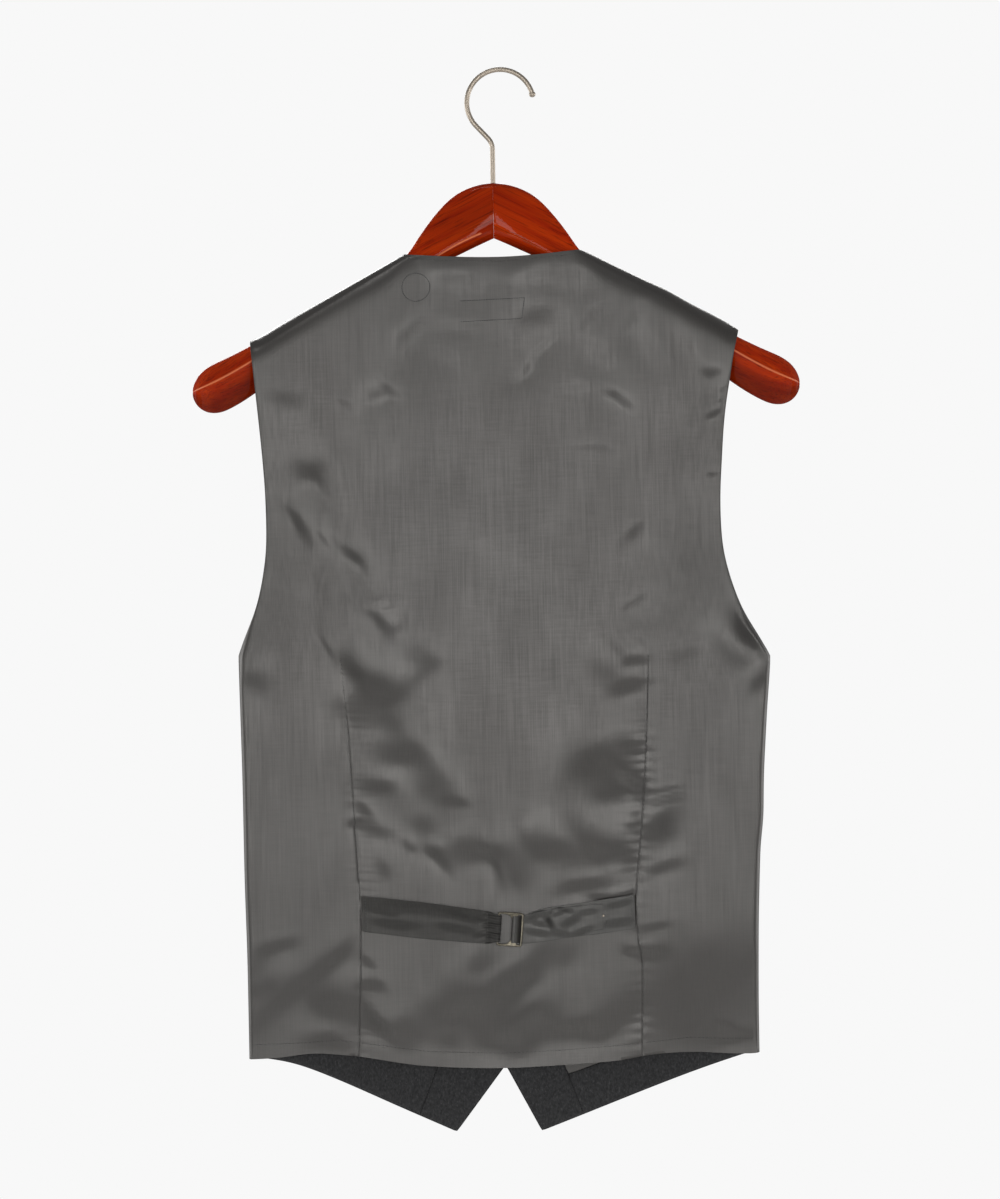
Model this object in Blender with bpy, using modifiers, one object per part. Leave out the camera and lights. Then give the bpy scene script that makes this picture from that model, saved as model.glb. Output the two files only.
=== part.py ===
"""A buttoned suit waistcoat on a contoured wooden hanger.

Sizes in the tables and functions are millimetres, and each mesh is made in metres. The
origin is the inner top of the hook, +Z is up, the satin back faces -Y and the wool fronts
face +Y. The wearer's left front, on the -X side, laps over the right one.
"""

import math
from collections import namedtuple

import bmesh
import bpy
import numpy as np
from mathutils import Matrix, Vector

MM = 0.001

# Hanger: a sprung wire hook in two glued wooden arms.
HANGER_X = -6.1
WIRE_RADIUS = 1.8
HOOK_RADIUS = 24.3
HOOK_TIP_ANGLE = 14.0
HOOK_BACK_ANGLE = 223.0
HOOK_BEND_RADIUS = 12.0
HOOK_BALL_RADIUS = 2.4
STEM_END_Z = -103.0
BORE_RADIUS = 2.15
BORE_END_Z = -104.0
BORE_OVERSHOOT = 20.0
ARM_LENGTH = 223.5
ARM_END_ROUND = 23.5
ARM_END_PLACES = [204.0, 210.0, 215.0, 219.0, 221.8, 223.2]
ARM_JOINT_GAP = 0.3
ARM_RING_POINTS = 16
ARM_UPPER_ROUNDNESS = 2.2

# One row for each section of an arm: distance out from the hook's stem, top and bottom
# heights, forward sweep of the middle, thickness front to back, drop from the crest to the
# widest line, and how boxy the part below that line is.
ArmSection = namedtuple("ArmSection", "out top bottom sweep thick drop boxy")
ARM = [
    ArmSection(0.0, -80.9, -121.7, 0.0, 14.0, 5.0, 4.0),
    ArmSection(10.0, -81.7, -126.2, 0.1, 14.0, 5.0, 4.0),
    ArmSection(20.0, -84.7, -130.9, 0.2, 14.0, 5.0, 4.0),
    ArmSection(30.3, -90.4, -135.7, 0.6, 14.0, 5.0, 4.0),
    ArmSection(38.5, -98.3, -139.8, 0.9, 14.0, 5.0, 4.0),
    ArmSection(46.7, -108.0, -144.2, 1.3, 14.0, 5.0, 3.6),
    ArmSection(55.0, -119.3, -149.0, 1.8, 14.2, 5.0, 3.4),
    ArmSection(61.0, -129.0, -152.8, 2.3, 14.4, 5.0, 3.2),
    ArmSection(68.0, -136.4, -157.2, 2.8, 14.8, 5.2, 3.0),
    ArmSection(84.0, -144.8, -167.5, 4.2, 16.0, 6.0, 2.8),
    ArmSection(109.0, -157.7, -184.0, 7.1, 18.5, 7.5, 2.5),
    ArmSection(134.0, -171.2, -200.5, 10.8, 23.0, 9.5, 2.2),
    ArmSection(158.0, -184.0, -217.5, 15.0, 28.0, 11.5, 2.0),
    ArmSection(179.0, -195.4, -233.5, 19.3, 32.0, 13.0, 1.9),
    ArmSection(197.0, -203.7, -243.5, 23.3, 34.5, 14.5, 1.8),
    ArmSection(210.0, -208.6, -246.0, 26.5, 36.0, 15.5, 1.8),
    ArmSection(223.5, -212.5, -246.0, 30.0, 36.0, 16.0, 1.8),
]

# Cloth thicknesses and the clearances between pieces.
BACK_WALL = 1.2
FRONT_WALL = 1.6
FACING_WALL = 1.0
STRAP_WALL = 1.0
PIECE_GAP = 0.3
SEAM_GAP = 0.5
EDGE_INSET = 1.2
HANGER_CLEARANCE = 1.1
CLOTH_ROUNDNESS = 2.6

# Waistcoat silhouette, seen from behind: x of each side at a height.
Side = namedtuple("Side", "z x")
LEFT_SIDE = [
    Side(-193.4, -185.1),
    Side(-251.0, -179.5),
    Side(-280.0, -177.0),
    Side(-310.0, -175.3),
    Side(-339.0, -175.0),
    Side(-368.0, -178.4),
    Side(-382.0, -181.5),
    Side(-397.0, -186.2),
    Side(-411.0, -192.6),
    Side(-423.0, -197.8),
    Side(-455.0, -197.3),
    Side(-514.0, -196.2),
    Side(-586.0, -195.8),
    Side(-645.0, -194.6),
    Side(-718.0, -194.3),
]
RIGHT_SIDE = [
    Side(-190.6, 170.9),
    Side(-256.0, 159.3),
    Side(-286.0, 157.2),
    Side(-315.0, 155.6),
    Side(-344.0, 156.3),
    Side(-359.0, 159.0),
    Side(-373.0, 162.4),
    Side(-388.0, 168.0),
    Side(-403.0, 174.6),
    Side(-417.0, 184.9),
    Side(-429.0, 191.6),
    Side(-461.0, 188.9),
    Side(-520.0, 185.0),
    Side(-549.0, 184.6),
    Side(-563.0, 182.2),
    Side(-622.0, 179.8),
    Side(-680.0, 178.9),
    Side(-718.0, 178.9),
]

# Top edge of the back, left to right: shoulder line, neck edge, shoulder line.
Edge = namedtuple("Edge", "x z")
BACK_TOP = [
    Edge(-185.1, -193.4),
    Edge(-159.4, -178.6),
    Edge(-132.2, -164.3),
    Edge(-105.7, -150.1),
    Edge(-79.2, -135.9),
    Edge(-72.5, -132.2),
    Edge(-66.0, -132.6),
    Edge(-45.0, -134.3),
    Edge(-23.7, -135.4),
    Edge(-1.8, -135.7),
    Edge(20.0, -134.6),
    Edge(42.0, -132.4),
    Edge(54.0, -130.9),
    Edge(60.0, -131.5),
    Edge(72.5, -137.9),
    Edge(105.1, -153.6),
    Edge(118.2, -159.0),
    Edge(131.9, -168.0),
    Edge(152.0, -177.6),
    Edge(163.5, -183.6),
    Edge(170.9, -190.6),
]
BACK_HEM = [
    Edge(-194.3, -717.8),
    Edge(-169.3, -716.7),
    Edge(-149.5, -713.0),
    Edge(-127.7, -714.5),
    Edge(-111.6, -716.2),
    Edge(-84.0, -721.0),
    Edge(-62.1, -723.7),
    Edge(-7.5, -725.8),
    Edge(32.7, -724.3),
    Edge(54.6, -723.2),
    Edge(80.1, -721.4),
    Edge(102.1, -717.3),
    Edge(127.7, -716.3),
    Edge(149.5, -718.1),
    Edge(167.8, -719.6),
    Edge(178.9, -717.8),
]

# The two long back darts: x of each seam at a height. They open at the hem.
LEFT_DART = [
    Side(-215.0, -120.0),
    Side(-425.0, -123.1),
    Side(-470.0, -118.6),
    Side(-515.0, -115.8),
    Side(-602.0, -111.0),
    Side(-646.0, -111.4),
    Side(-718.0, -113.8),
]
RIGHT_DART = [
    Side(-215.0, 104.0),
    Side(-427.0, 101.6),
    Side(-518.0, 97.9),
    Side(-578.0, 92.5),
    Side(-602.0, 90.1),
    Side(-627.0, 90.4),
    Side(-649.0, 94.0),
    Side(-718.0, 92.8),
]
DART_TOP_Z = -418.0
DART_RISE = 1.3
DART_FADE = 13.0
DART_HALF = 0.7

# Depth of the hanging garment at a height: inner faces at the middle of the back and of
# the fronts, both panels' faces where the side turn starts, and the side seam.
Depth = namedtuple("Depth", "z back back_side seam front_side front")
DEPTHS = [
    Depth(-340.0, -9.6, 5.5, 11.5, 19.0, 33.0),
    Depth(-425.0, -10.0, 4.5, 10.5, 17.5, 35.0),
    Depth(-560.0, -9.8, 3.5, 9.5, 16.0, 33.0),
    Depth(-640.0, -9.2, 3.8, 9.5, 15.5, 31.0),
    Depth(-780.0, -8.6, 4.5, 10.0, 15.5, 28.0),
]
BODY_TOP_Z = -340.0
SIDE_TURN = 5.5
BACK_BOW_POWER = 2.1
FRONT_BOW_POWER = 2.3
ARMHOLE_CURL = 0.8

# The largest folds of the satin: soft troughs (positive depth) and ridges (negative), each
# from one end to the other, with its half width.
Fold = namedtuple("Fold", "x0 z0 x1 z1 width depth")
BACK_FOLDS = [
    Fold(-164.0, -303.0, -133.0, -352.0, 9.0, 1.1),
    Fold(-152.0, -294.0, -118.0, -346.0, 9.0, -1.0),
    Fold(-120.0, -336.0, -96.0, -372.0, 8.0, 1.1),
    Fold(-106.0, -392.0, -76.0, -420.0, 9.0, -1.0),
    Fold(-110.0, -440.0, -88.0, -486.0, 15.0, 1.6),
    Fold(-84.0, -430.0, -72.0, -470.0, 12.0, -1.0),
    Fold(-108.0, -506.0, -52.0, -530.0, 10.0, -1.2),
    Fold(-104.0, -530.0, -70.0, -560.0, 11.0, 1.2),
    Fold(64.0, -482.0, 82.0, -574.0, 17.0, 1.9),
    Fold(44.0, -470.0, 52.0, -560.0, 14.0, -1.1),
    Fold(34.0, -592.0, 66.0, -575.0, 10.0, 1.2),
    Fold(150.0, -432.0, 172.0, -392.0, 12.0, 1.6),
    Fold(26.0, -196.0, 6.0, -222.0, 11.0, 1.1),
    Fold(-150.0, -276.0, -126.0, -312.0, 12.0, 1.1),
    Fold(92.0, -678.0, 40.0, -704.0, 10.0, 1.1),
    Fold(-50.0, -668.0, -14.0, -700.0, 15.0, 1.1),
]


# Rows of the back from its top edge down, and its columns from side to side.
BACK_TURN_ANGLES = (90.0, 60.0, 38.0, 18.0, 0.0)
NECK_TURN = 6.0
NECK_TO_SHOULDER = (58.0, 70.0)
SEAM_SHIFT_FROM = (62.0, 70.0)
SEAM_FORWARD = 2.0
UPPER_ROWS_Z = -225.0
LEFT_UNDERARM_Z = -423.0
RIGHT_UNDERARM_Z = -429.0
UPPER_ROWS = 5
ARMHOLE_ROWS = 13
LOWER_ROWS = 17
SIDE_PANEL_CELLS = 4
SIDE_TURN_ANGLES = (90.0, 62.0, 32.0, 0.0)
# Where the centre columns lie between the darts along the top edge, close together at the
# two neck corners.
CENTRE_SPREAD = (
    0.0, 0.08, 0.16, 0.202, 0.218, 0.234, 0.32, 0.42, 0.52, 0.61, 0.70, 0.76, 0.781, 0.804, 0.90, 1.0,
)

# Fronts, measured out from the garment's middle line. One row for each ruled line of the
# panel, from its edge to the armhole or side seam, and the cells down to the next row.
GARMENT_X = -7.0
LAP = 17.0
FrontRow = namedtuple("FrontRow", "edge edge_z side_z cells")
FRONT_ROWS = [
    FrontRow(53.0, -166.0, -226.0, 2),
    FrontRow(33.5, -222.0, -272.0, 2),
    FrontRow(8.5, -293.0, -330.0, 2),
    FrontRow(-LAP, -365.0, -388.0, 2),
    FrontRow(-LAP, -425.0, -426.0, 3),
    FrontRow(-LAP, -540.0, -530.0, 4),
]
FRONT_NECK_OUT = 66.0
FRONT_TURN_ANGLES = (97.0, 122.0, 146.0, 180.0)
FRONT_CLEARANCE = 2.5
BACK_HANG_DROP = 8.0
FRONT_HANG_DROP = 10.0
LAP_DROP = 3.4
FACING_CELLS = 3
LINING_CELLS = 5
CUTAWAY_CELLS = 2
HEM_FACING_CELLS = 2

# How far the front armhole is scooped inside the back one, and the facing's inner edge.
Scoop = namedtuple("Scoop", "z inset")
ARMHOLE_SCOOP = [
    Scoop(-193.0, 1.0),
    Scoop(-226.0, 5.0),
    Scoop(-290.0, 14.0),
    Scoop(-345.0, 16.0),
    Scoop(-388.0, 9.0),
    Scoop(-426.0, 0.0),
]
FacingEdge = namedtuple("FacingEdge", "z out")
FACING_EDGE = [
    FacingEdge(-131.0, 97.0),
    FacingEdge(-222.0, 84.0),
    FacingEdge(-300.0, 63.0),
    FacingEdge(-365.0, 48.0),
    FacingEdge(-450.0, 41.0),
    FacingEdge(-640.0, 36.0),
    FacingEdge(-700.0, 40.0),
    FacingEdge(-724.0, 48.0),
    FacingEdge(-757.0, 60.8),
    FacingEdge(-776.0, 67.5),
]

# The cutaway and the pointed hem of each front, and how deep its hem facing is.
FrontHem = namedtuple("FrontHem", "out z")
LEFT_HEM = [
    FrontHem(36.5, -775.6),
    FrontHem(80.0, -756.0),
    FrontHem(136.6, -730.1),
    FrontHem(163.6, -720.4),
    FrontHem(187.3, -717.8),
]
RIGHT_HEM = [
    FrontHem(26.0, -775.5),
    FrontHem(60.0, -763.0),
    FrontHem(135.5, -734.4),
    FrontHem(171.0, -722.2),
    FrontHem(185.9, -717.8),
]
LEFT_CUTAWAY_Z = -705.0
RIGHT_CUTAWAY_Z = -695.0
LEFT_HEM_FACING = 37.0
RIGHT_HEM_FACING = 29.0
RIGHT_FACING_SHIFT = -6.5

# Back strap in two halves. One row for each station along a half: x and height of its
# middle, half its width, its lean, and how far its middle lies off the satin.
Station = namedtuple("Station", "x z half lean lift")
STRAP_CELLS = 3
BUCKLE_X = -2.25
BUCKLE_Z = -624.5
BUCKLE_WIDTH = 17.3
BUCKLE_HEIGHT = 23.2
BUCKLE_CORNER = 1.4
BUCKLE_LEAN = 4.5
BUCKLE_LIFT = 3.9
BUCKLE_WIRE = 1.0
MIDDLE_BAR_X = 3.0
MIDDLE_BAR_WIRE = 0.8
GATHERED_HALF = 9.7
LEFT_STRAP_OUT = [
    Station(-109.6, -612.0, 13.1, -1.0, 0.9),
    Station(-96.0, -613.6, 13.2, -1.0, 0.9),
    Station(-80.0, -615.6, 13.4, -1.0, 0.9),
    Station(-64.0, -617.6, 13.4, 0.0, 1.0),
    Station(-48.0, -619.5, 12.9, 0.0, 1.4),
    Station(-34.0, -621.2, 12.4, 1.0, 2.2),
    Station(-24.0, -622.4, 12.1, 2.0, 2.4),
    Station(-19.0, -622.9, 11.8, 3.0, 3.0),
    Station(-15.0, -623.5, 11.0, 4.5, 4.6),
]
LEFT_STRAP_BACK = [
    Station(-15.0, -623.5, 10.8, 4.5, 1.4),
    Station(-19.0, -622.9, 11.4, 3.0, 0.9),
    Station(-30.0, -621.7, 11.6, 1.0, 0.85),
]
RIGHT_STRAP_OUT = [
    Station(88.9, -613.4, 12.6, -1.0, 0.9),
    Station(76.0, -615.2, 12.4, -1.0, 0.85),
    Station(62.0, -617.0, 12.2, -1.0, 0.85),
    Station(46.0, -618.9, 12.1, 0.0, 0.85),
    Station(30.0, -620.5, 12.0, 1.0, 0.85),
    Station(18.0, -622.4, 11.7, 2.0, 0.85),
    Station(11.0, -623.9, 10.9, 4.5, 0.85),
    Station(6.4, -625.1, 9.9, 4.5, 0.85),
    Station(4.6, -625.0, 9.7, 4.5, 0.9),
]
RIGHT_STRAP_BACK = [
    Station(4.6, -625.0, 9.7, 4.5, 2.3),
    Station(6.4, -625.1, 9.9, 4.5, 2.15),
    Station(11.0, -624.7, 10.6, 4.5, 2.15),
    Station(18.0, -623.3, 11.2, 2.0, 2.2),
    Station(30.0, -621.8, 11.4, 1.0, 2.2),
    Station(44.0, -619.7, 10.9, 0.0, 2.2),
    Station(56.0, -617.7, 10.0, 0.0, 2.2),
    Station(65.8, -616.3, 9.0, -3.0, 2.2),
    Station(68.3, -616.0, 0.8, -3.0, 2.2),
]

# Buttons down the middle of the closed fronts.
BUTTON_COUNT = 5
TOP_BUTTON_Z = -381.0
LAST_BUTTON_Z = -687.0
BUTTON_RADIUS = 7.5
BUTTON_SIDES = 16
BUTTON_HOLE_RADIUS = 0.95
BUTTON_HOLE_DEPTH = 12.0
BUTTON_LIFT = 0.4
BUTTON_HOLE_OUT = 1.7
BUTTON_HOLE_SIDES = 6
BUTTON_PROFILE = ((0.0, 0.0), (6.2, 0.0), (7.5, 0.9), (7.5, 2.1), (6.7, 2.9), (5.4, 2.1), (0.0, 2.1))


class Track:
    """A smooth curve through two columns of a table, level past its ends."""

    def __init__(self, rows, key, column):
        pairs = sorted((getattr(row, key), getattr(row, column)) for row in rows)
        self.at = np.array([pair[0] for pair in pairs], dtype=float)
        self.value = np.array([pair[1] for pair in pairs], dtype=float)
        slope = np.diff(self.value) / np.diff(self.at)
        self.tangent = np.zeros(len(pairs))
        self.tangent[0] = slope[0]
        self.tangent[-1] = slope[-1]
        for index in range(1, len(pairs) - 1):
            before, after = slope[index - 1], slope[index]
            if before * after > 0.0:
                self.tangent[index] = 2.0 * before * after / (before + after)

    def __call__(self, position):
        position = min(max(position, self.at[0]), self.at[-1])
        index = min(int(np.searchsorted(self.at, position, side="right")) - 1, len(self.at) - 2)
        step = self.at[index + 1] - self.at[index]
        t = (position - self.at[index]) / step
        start_shape = 2.0 * t**3 - 3.0 * t**2 + 1.0
        start_slope = t**3 - 2.0 * t**2 + t
        end_slope = t**3 - t**2
        value = start_shape * self.value[index] + (1.0 - start_shape) * self.value[index + 1]
        value += start_slope * step * self.tangent[index] + end_slope * step * self.tangent[index + 1]
        return float(value)


class Line(Track):
    """Straight stretches through two columns of a table, for edges with corners."""

    def __call__(self, position):
        return float(np.interp(position, self.at, self.value))


def mix(start, end, amount):
    return start + (end - start) * amount


def ramp(start, end, value):
    """0 before start, 1 past end, with soft ends; start may be above end."""
    t = min(max((value - start) / (end - start), 0.0), 1.0)
    return t * t * (3.0 - 2.0 * t)


arm_top = Track(ARM, "out", "top")
arm_bottom = Track(ARM, "out", "bottom")
arm_sweep = Track(ARM, "out", "sweep")
arm_thick = Track(ARM, "out", "thick")
arm_drop = Track(ARM, "out", "drop")
arm_boxy = Track(ARM, "out", "boxy")
left_side = Track(LEFT_SIDE, "z", "x")
right_side = Track(RIGHT_SIDE, "z", "x")
left_dart = Track(LEFT_DART, "z", "x")
right_dart = Track(RIGHT_DART, "z", "x")
back_top = Line(BACK_TOP, "x", "z")
back_hem = Track(BACK_HEM, "x", "z")
back_middle_y = Track(DEPTHS, "z", "back")
back_side_y = Track(DEPTHS, "z", "back_side")
seam_y = Track(DEPTHS, "z", "seam")
front_side_y = Track(DEPTHS, "z", "front_side")
front_middle_y = Track(DEPTHS, "z", "front")
armhole_scoop = Track(ARMHOLE_SCOOP, "z", "inset")
facing_edge = Track(FACING_EDGE, "z", "out")


# ---------------------------------------------------------------- form of the cloth

def crest(x):
    """Height of the cloth's inner face where it passes over an arm."""
    over_wood = arm_top(abs(x - HANGER_X)) + HANGER_CLEARANCE
    return max(over_wood, back_top(x) - BACK_WALL)


def over_arm(x, z, clearance, facing):
    """Depth of cloth that lies over an arm: facing is -1 behind it and 1 in front."""
    out = abs(x - HANGER_X)
    rise = (z - crest(x)) / arm_drop(out) + 1.0
    rise = min(max(rise, 0.0), 1.0)
    half = arm_thick(out) / 2.0 + clearance
    return arm_sweep(out) + facing * half * (1.0 - rise**CLOTH_ROUNDNESS) ** (1.0 / CLOTH_ROUNDNESS)


def across(x, z):
    """How far x lies from the garment's middle towards its side, 0 to 1."""
    left, right = left_side(z), right_side(z)
    return min(abs(x - (left + right) / 2.0) / ((right - left) / 2.0), 1.0)


def fold_depth(x, z):
    total = 0.0
    for fold in BACK_FOLDS:
        run_x, run_z = fold.x1 - fold.x0, fold.z1 - fold.z0
        length = math.hypot(run_x, run_z)
        along = ((x - fold.x0) * run_x + (z - fold.z0) * run_z) / length
        aside = ((x - fold.x0) * run_z - (z - fold.z0) * run_x) / length
        past_end = max(-along, along - length, 0.0)
        reach = math.hypot(aside, past_end) / fold.width
        total += fold.depth * math.exp(-reach * reach)
    return total


def dart_rise(x, z):
    """The side panels stand proud of the centre along each dart seam."""
    amount = ramp(DART_TOP_Z, DART_TOP_Z - 30.0, z)
    beyond_left = left_dart(z) - x
    beyond_right = x - right_dart(z)
    beyond = max(beyond_left, beyond_right)
    if beyond <= 0.0:
        return 0.0
    return DART_RISE * amount * math.exp(-beyond / DART_FADE)


def back_y(x, z):
    """Inner face of the back panel."""
    out = abs(x - HANGER_X)
    body = mix(back_middle_y(z), back_side_y(z), across(x, z) ** BACK_BOW_POWER)
    hang_from = crest(x) - arm_drop(out) - BACK_HANG_DROP
    hung = mix(over_arm(x, z, HANGER_CLEARANCE, -1.0), body, ramp(hang_from, BODY_TOP_Z, z))
    return hung + fold_depth(x, z) - dart_rise(x, z)


def front_y(x, z, side):
    """Inner face of a front panel: side is -1 for the outer left one, 1 for the right one."""
    x_on_arm = x
    if abs(x - HANGER_X) < FRONT_NECK_OUT:
        x_on_arm = HANGER_X + side * FRONT_NECK_OUT
    body = mix(front_middle_y(z), front_side_y(z), across(x, z) ** FRONT_BOW_POWER)
    hang_from = crest(x_on_arm) - arm_drop(abs(x_on_arm - HANGER_X)) - FRONT_HANG_DROP
    hung = mix(over_arm(x_on_arm, z, FRONT_CLEARANCE, 1.0), body, ramp(hang_from, BODY_TOP_Z, z))
    if side > 0.0:
        hung -= LAP_DROP * ramp(80.0, 24.0, abs(x - GARMENT_X))
    return hung


def grid_normals(grid):
    """Unit normals of a grid of points, rows running down and columns across."""
    down = np.gradient(grid, axis=0)
    sideways = np.gradient(grid, axis=1)
    normals = np.cross(down, sideways)
    return normals / np.linalg.norm(normals, axis=2, keepdims=True)


def moved_out(grid, distance):
    return grid + grid_normals(grid) * distance


def draw_in(grid, border, distance):
    """Moves one border of a grid inwards along its own surface."""
    edge, inner = {
        "first column": (grid[:, 0], grid[:, 1]),
        "last row": (grid[-1], grid[-2]),
    }[border]
    run = inner - edge
    edge += run / np.linalg.norm(run, axis=1, keepdims=True) * distance


# ---------------------------------------------------------------- back panel

def superellipse(angle, roundness):
    """Sideways and upward reach of a rounded quarter at an angle, each 0 to 1."""
    power = 2.0 / roundness
    turn = math.radians(angle)
    return abs(math.cos(turn)) ** power, abs(math.sin(turn)) ** power


def back_levels():
    """Functions of x that give the height of each row of the back."""
    levels = []

    def turn_level(reach):
        def height(x):
            out = abs(x - HANGER_X)
            drop = mix(NECK_TURN, arm_drop(out), ramp(*NECK_TO_SHOULDER, out))
            top = back_top(x) - BACK_WALL * ramp(*NECK_TO_SHOULDER, out)
            return top - drop * (1.0 - reach)
        return height

    def between(upper, lower, amount):
        return lambda x: mix(upper(x), lower(x), amount)

    def underarm(x):
        return mix(LEFT_UNDERARM_Z, RIGHT_UNDERARM_Z, (x + 195.0) / 380.0)

    for angle in BACK_TURN_ANGLES:
        levels.append(turn_level(superellipse(angle, CLOTH_ROUNDNESS)[1]))
    stretches = (
        (levels[-1], lambda x: UPPER_ROWS_Z, UPPER_ROWS),
        (lambda x: UPPER_ROWS_Z, underarm, ARMHOLE_ROWS),
        (underarm, back_hem, LOWER_ROWS),
    )
    for upper, lower, count in stretches:
        for step in range(1, count + 1):
            levels.append(between(upper, lower, step / count))
    return levels


def centre_fractions(row):
    """Column places between the darts, evened out below the top rows."""
    last_top_row = len(BACK_TURN_ANGLES) + UPPER_ROWS - 1
    amount = ramp(len(BACK_TURN_ANGLES) - 1.0, last_top_row, row)
    count = len(CENTRE_SPREAD) - 1
    return [mix(place, index / count, amount) for index, place in enumerate(CENTRE_SPREAD)]


def turned(z):
    """1 where the back and the fronts meet round the side, 0 at the open armhole."""
    return ramp(-400.0, -424.0, z)


def back_grid():
    points = []
    for row, height in enumerate(back_levels()):
        z_left = height(LEFT_SIDE[0].x)
        z_right = height(RIGHT_SIDE[0].x)
        left = left_side(z_left) + BACK_WALL * turned(z_left)
        right = right_side(z_right) - BACK_WALL * turned(z_right)
        left_seam = left_dart(z_left)
        right_seam = right_dart(z_right)
        columns = []
        for angle in SIDE_TURN_ANGLES[:-1]:
            columns.append((left + SIDE_TURN * (1.0 - math.sin(math.radians(angle))), angle))
        for step in range(SIDE_PANEL_CELLS + 1):
            amount = step / SIDE_PANEL_CELLS
            columns.append((mix(left + SIDE_TURN, left_seam - DART_HALF, amount), 0.0))
        for place in centre_fractions(row):
            columns.append((mix(left_seam + DART_HALF, right_seam - DART_HALF, place), 0.0))
        for step in range(SIDE_PANEL_CELLS + 1):
            amount = step / SIDE_PANEL_CELLS
            columns.append((mix(right_seam + DART_HALF, right - SIDE_TURN, amount), 0.0))
        for angle in reversed(SIDE_TURN_ANGLES[:-1]):
            columns.append((right - SIDE_TURN * (1.0 - math.sin(math.radians(angle))), angle))
        line = []
        for x, angle in columns:
            z = height(x)
            flat_x = min(max(x, left + SIDE_TURN), right - SIDE_TURN)
            y = back_y(flat_x, z)
            curl = mix(ARMHOLE_CURL, seam_y(z) - y, turned(z))
            y += curl * (1.0 - math.cos(math.radians(angle)))
            if row == 0:
                y += SEAM_FORWARD * ramp(*SEAM_SHIFT_FROM, abs(x - HANGER_X))
            line.append((x, y, z))
        points.append(line)
    return np.array(points)


# ---------------------------------------------------------------- front panels

def front_lines(side):
    """Edge and side points of each grid row below the arm, and its share of the hem's bow."""
    hem = LEFT_HEM if side < 0.0 else RIGHT_HEM
    cutaway_z = LEFT_CUTAWAY_Z if side < 0.0 else RIGHT_CUTAWAY_Z
    depth = LEFT_HEM_FACING if side < 0.0 else RIGHT_HEM_FACING
    point, corner = hem[0], hem[-1]
    amount = (point.z + depth - cutaway_z) / (point.z - cutaway_z)
    rows = FRONT_ROWS + [
        FrontRow(-LAP, cutaway_z, corner.z + depth + 22.0, CUTAWAY_CELLS),
        FrontRow(mix(-LAP, point.out, amount), point.z + depth, corner.z + depth, HEM_FACING_CELLS),
        FrontRow(point.out, point.z, corner.z, 0),
    ]
    bow = [0.0] * (len(rows) - 2) + [1.0, 1.0]
    lines = []
    for index, row in enumerate(rows[:-1]):
        below = rows[index + 1]
        for step in range(row.cells):
            part = step / row.cells
            lines.append((
                mix(row.edge, below.edge, part),
                mix(row.edge_z, below.edge_z, part),
                mix(row.side_z, below.side_z, part),
                mix(bow[index], bow[index + 1], part),
            ))
    lines.append((point.out, point.z, corner.z, 1.0))
    return lines


def side_out(side, z):
    """Distance of the front's outer edge from the middle line at a height."""
    edge = left_side(z) if side < 0.0 else right_side(z)
    inset = armhole_scoop(z) + (FRONT_WALL + 0.3) * turned(z)
    return abs(edge - GARMENT_X) - inset


def front_columns(edge, facing, outer):
    columns = [(mix(edge, facing, step / FACING_CELLS), 0.0) for step in range(FACING_CELLS)]
    for step in range(LINING_CELLS + 1):
        columns.append((mix(facing, outer - SIDE_TURN, step / LINING_CELLS), 0.0))
    for angle in reversed(SIDE_TURN_ANGLES[:-1]):
        columns.append((outer - SIDE_TURN * (1.0 - math.sin(math.radians(angle))), angle))
    return columns


def front_grid(side):
    shift = RIGHT_FACING_SHIFT if side > 0.0 else 0.0
    hem = Track(LEFT_HEM if side < 0.0 else RIGHT_HEM, "out", "z")
    corner = (LEFT_HEM if side < 0.0 else RIGHT_HEM)[-1]
    point = (LEFT_HEM if side < 0.0 else RIGHT_HEM)[0]
    points = []
    neck = abs(HANGER_X + side * FRONT_NECK_OUT - GARMENT_X)
    shoulder = side_out(side, LEFT_SIDE[0].z)
    for angle in FRONT_TURN_ANGLES:
        reach_out, reach_up = superellipse(angle, CLOTH_ROUNDNESS)
        line = []
        for out, _ in front_columns(neck, facing_edge(-140.0), shoulder):
            x = GARMENT_X + side * out
            on_arm = abs(x - HANGER_X)
            half = arm_thick(on_arm) / 2.0 + FRONT_CLEARANCE
            y = arm_sweep(on_arm) + half * reach_out
            y = max(y, arm_sweep(on_arm) + SEAM_FORWARD + SEAM_GAP)
            z = crest(x) - (FRONT_WALL - BACK_WALL) - arm_drop(on_arm) * (1.0 - reach_up)
            line.append((x, y, z))
        points.append(line)
    for edge, edge_z, side_z, bow in front_lines(side):
        outer = side_out(side, side_z)
        z_facing = edge_z
        for _ in range(4):
            facing = max(facing_edge(z_facing) + shift * ramp(-640.0, -700.0, z_facing), edge + 12.0)
            z_facing = mix(edge_z, side_z, (facing - edge) / (outer - edge))
        line = []
        for out, angle in front_columns(edge, facing, outer):
            z = mix(edge_z, side_z, (out - edge) / (outer - edge))
            past_point = max(out - point.out, 0.0)
            ruled = mix(point.z, corner.z, past_point / (corner.out - point.out))
            z += bow * (hem(out) - ruled)
            x = GARMENT_X + side * out
            flat_x = GARMENT_X + side * min(out, outer - SIDE_TURN)
            y = front_y(flat_x, z, side)
            curl = mix(ARMHOLE_CURL, y - seam_y(z) - SEAM_GAP, turned(z))
            y -= curl * (1.0 - math.cos(math.radians(angle)))
            line.append((x, y, z))
        points.append(line)
    return np.array(points)


# ---------------------------------------------------------------- straps and buckle

def satin_y(x, z):
    """Outer face of the back panel."""
    return back_y(x, z) - BACK_WALL


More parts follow.
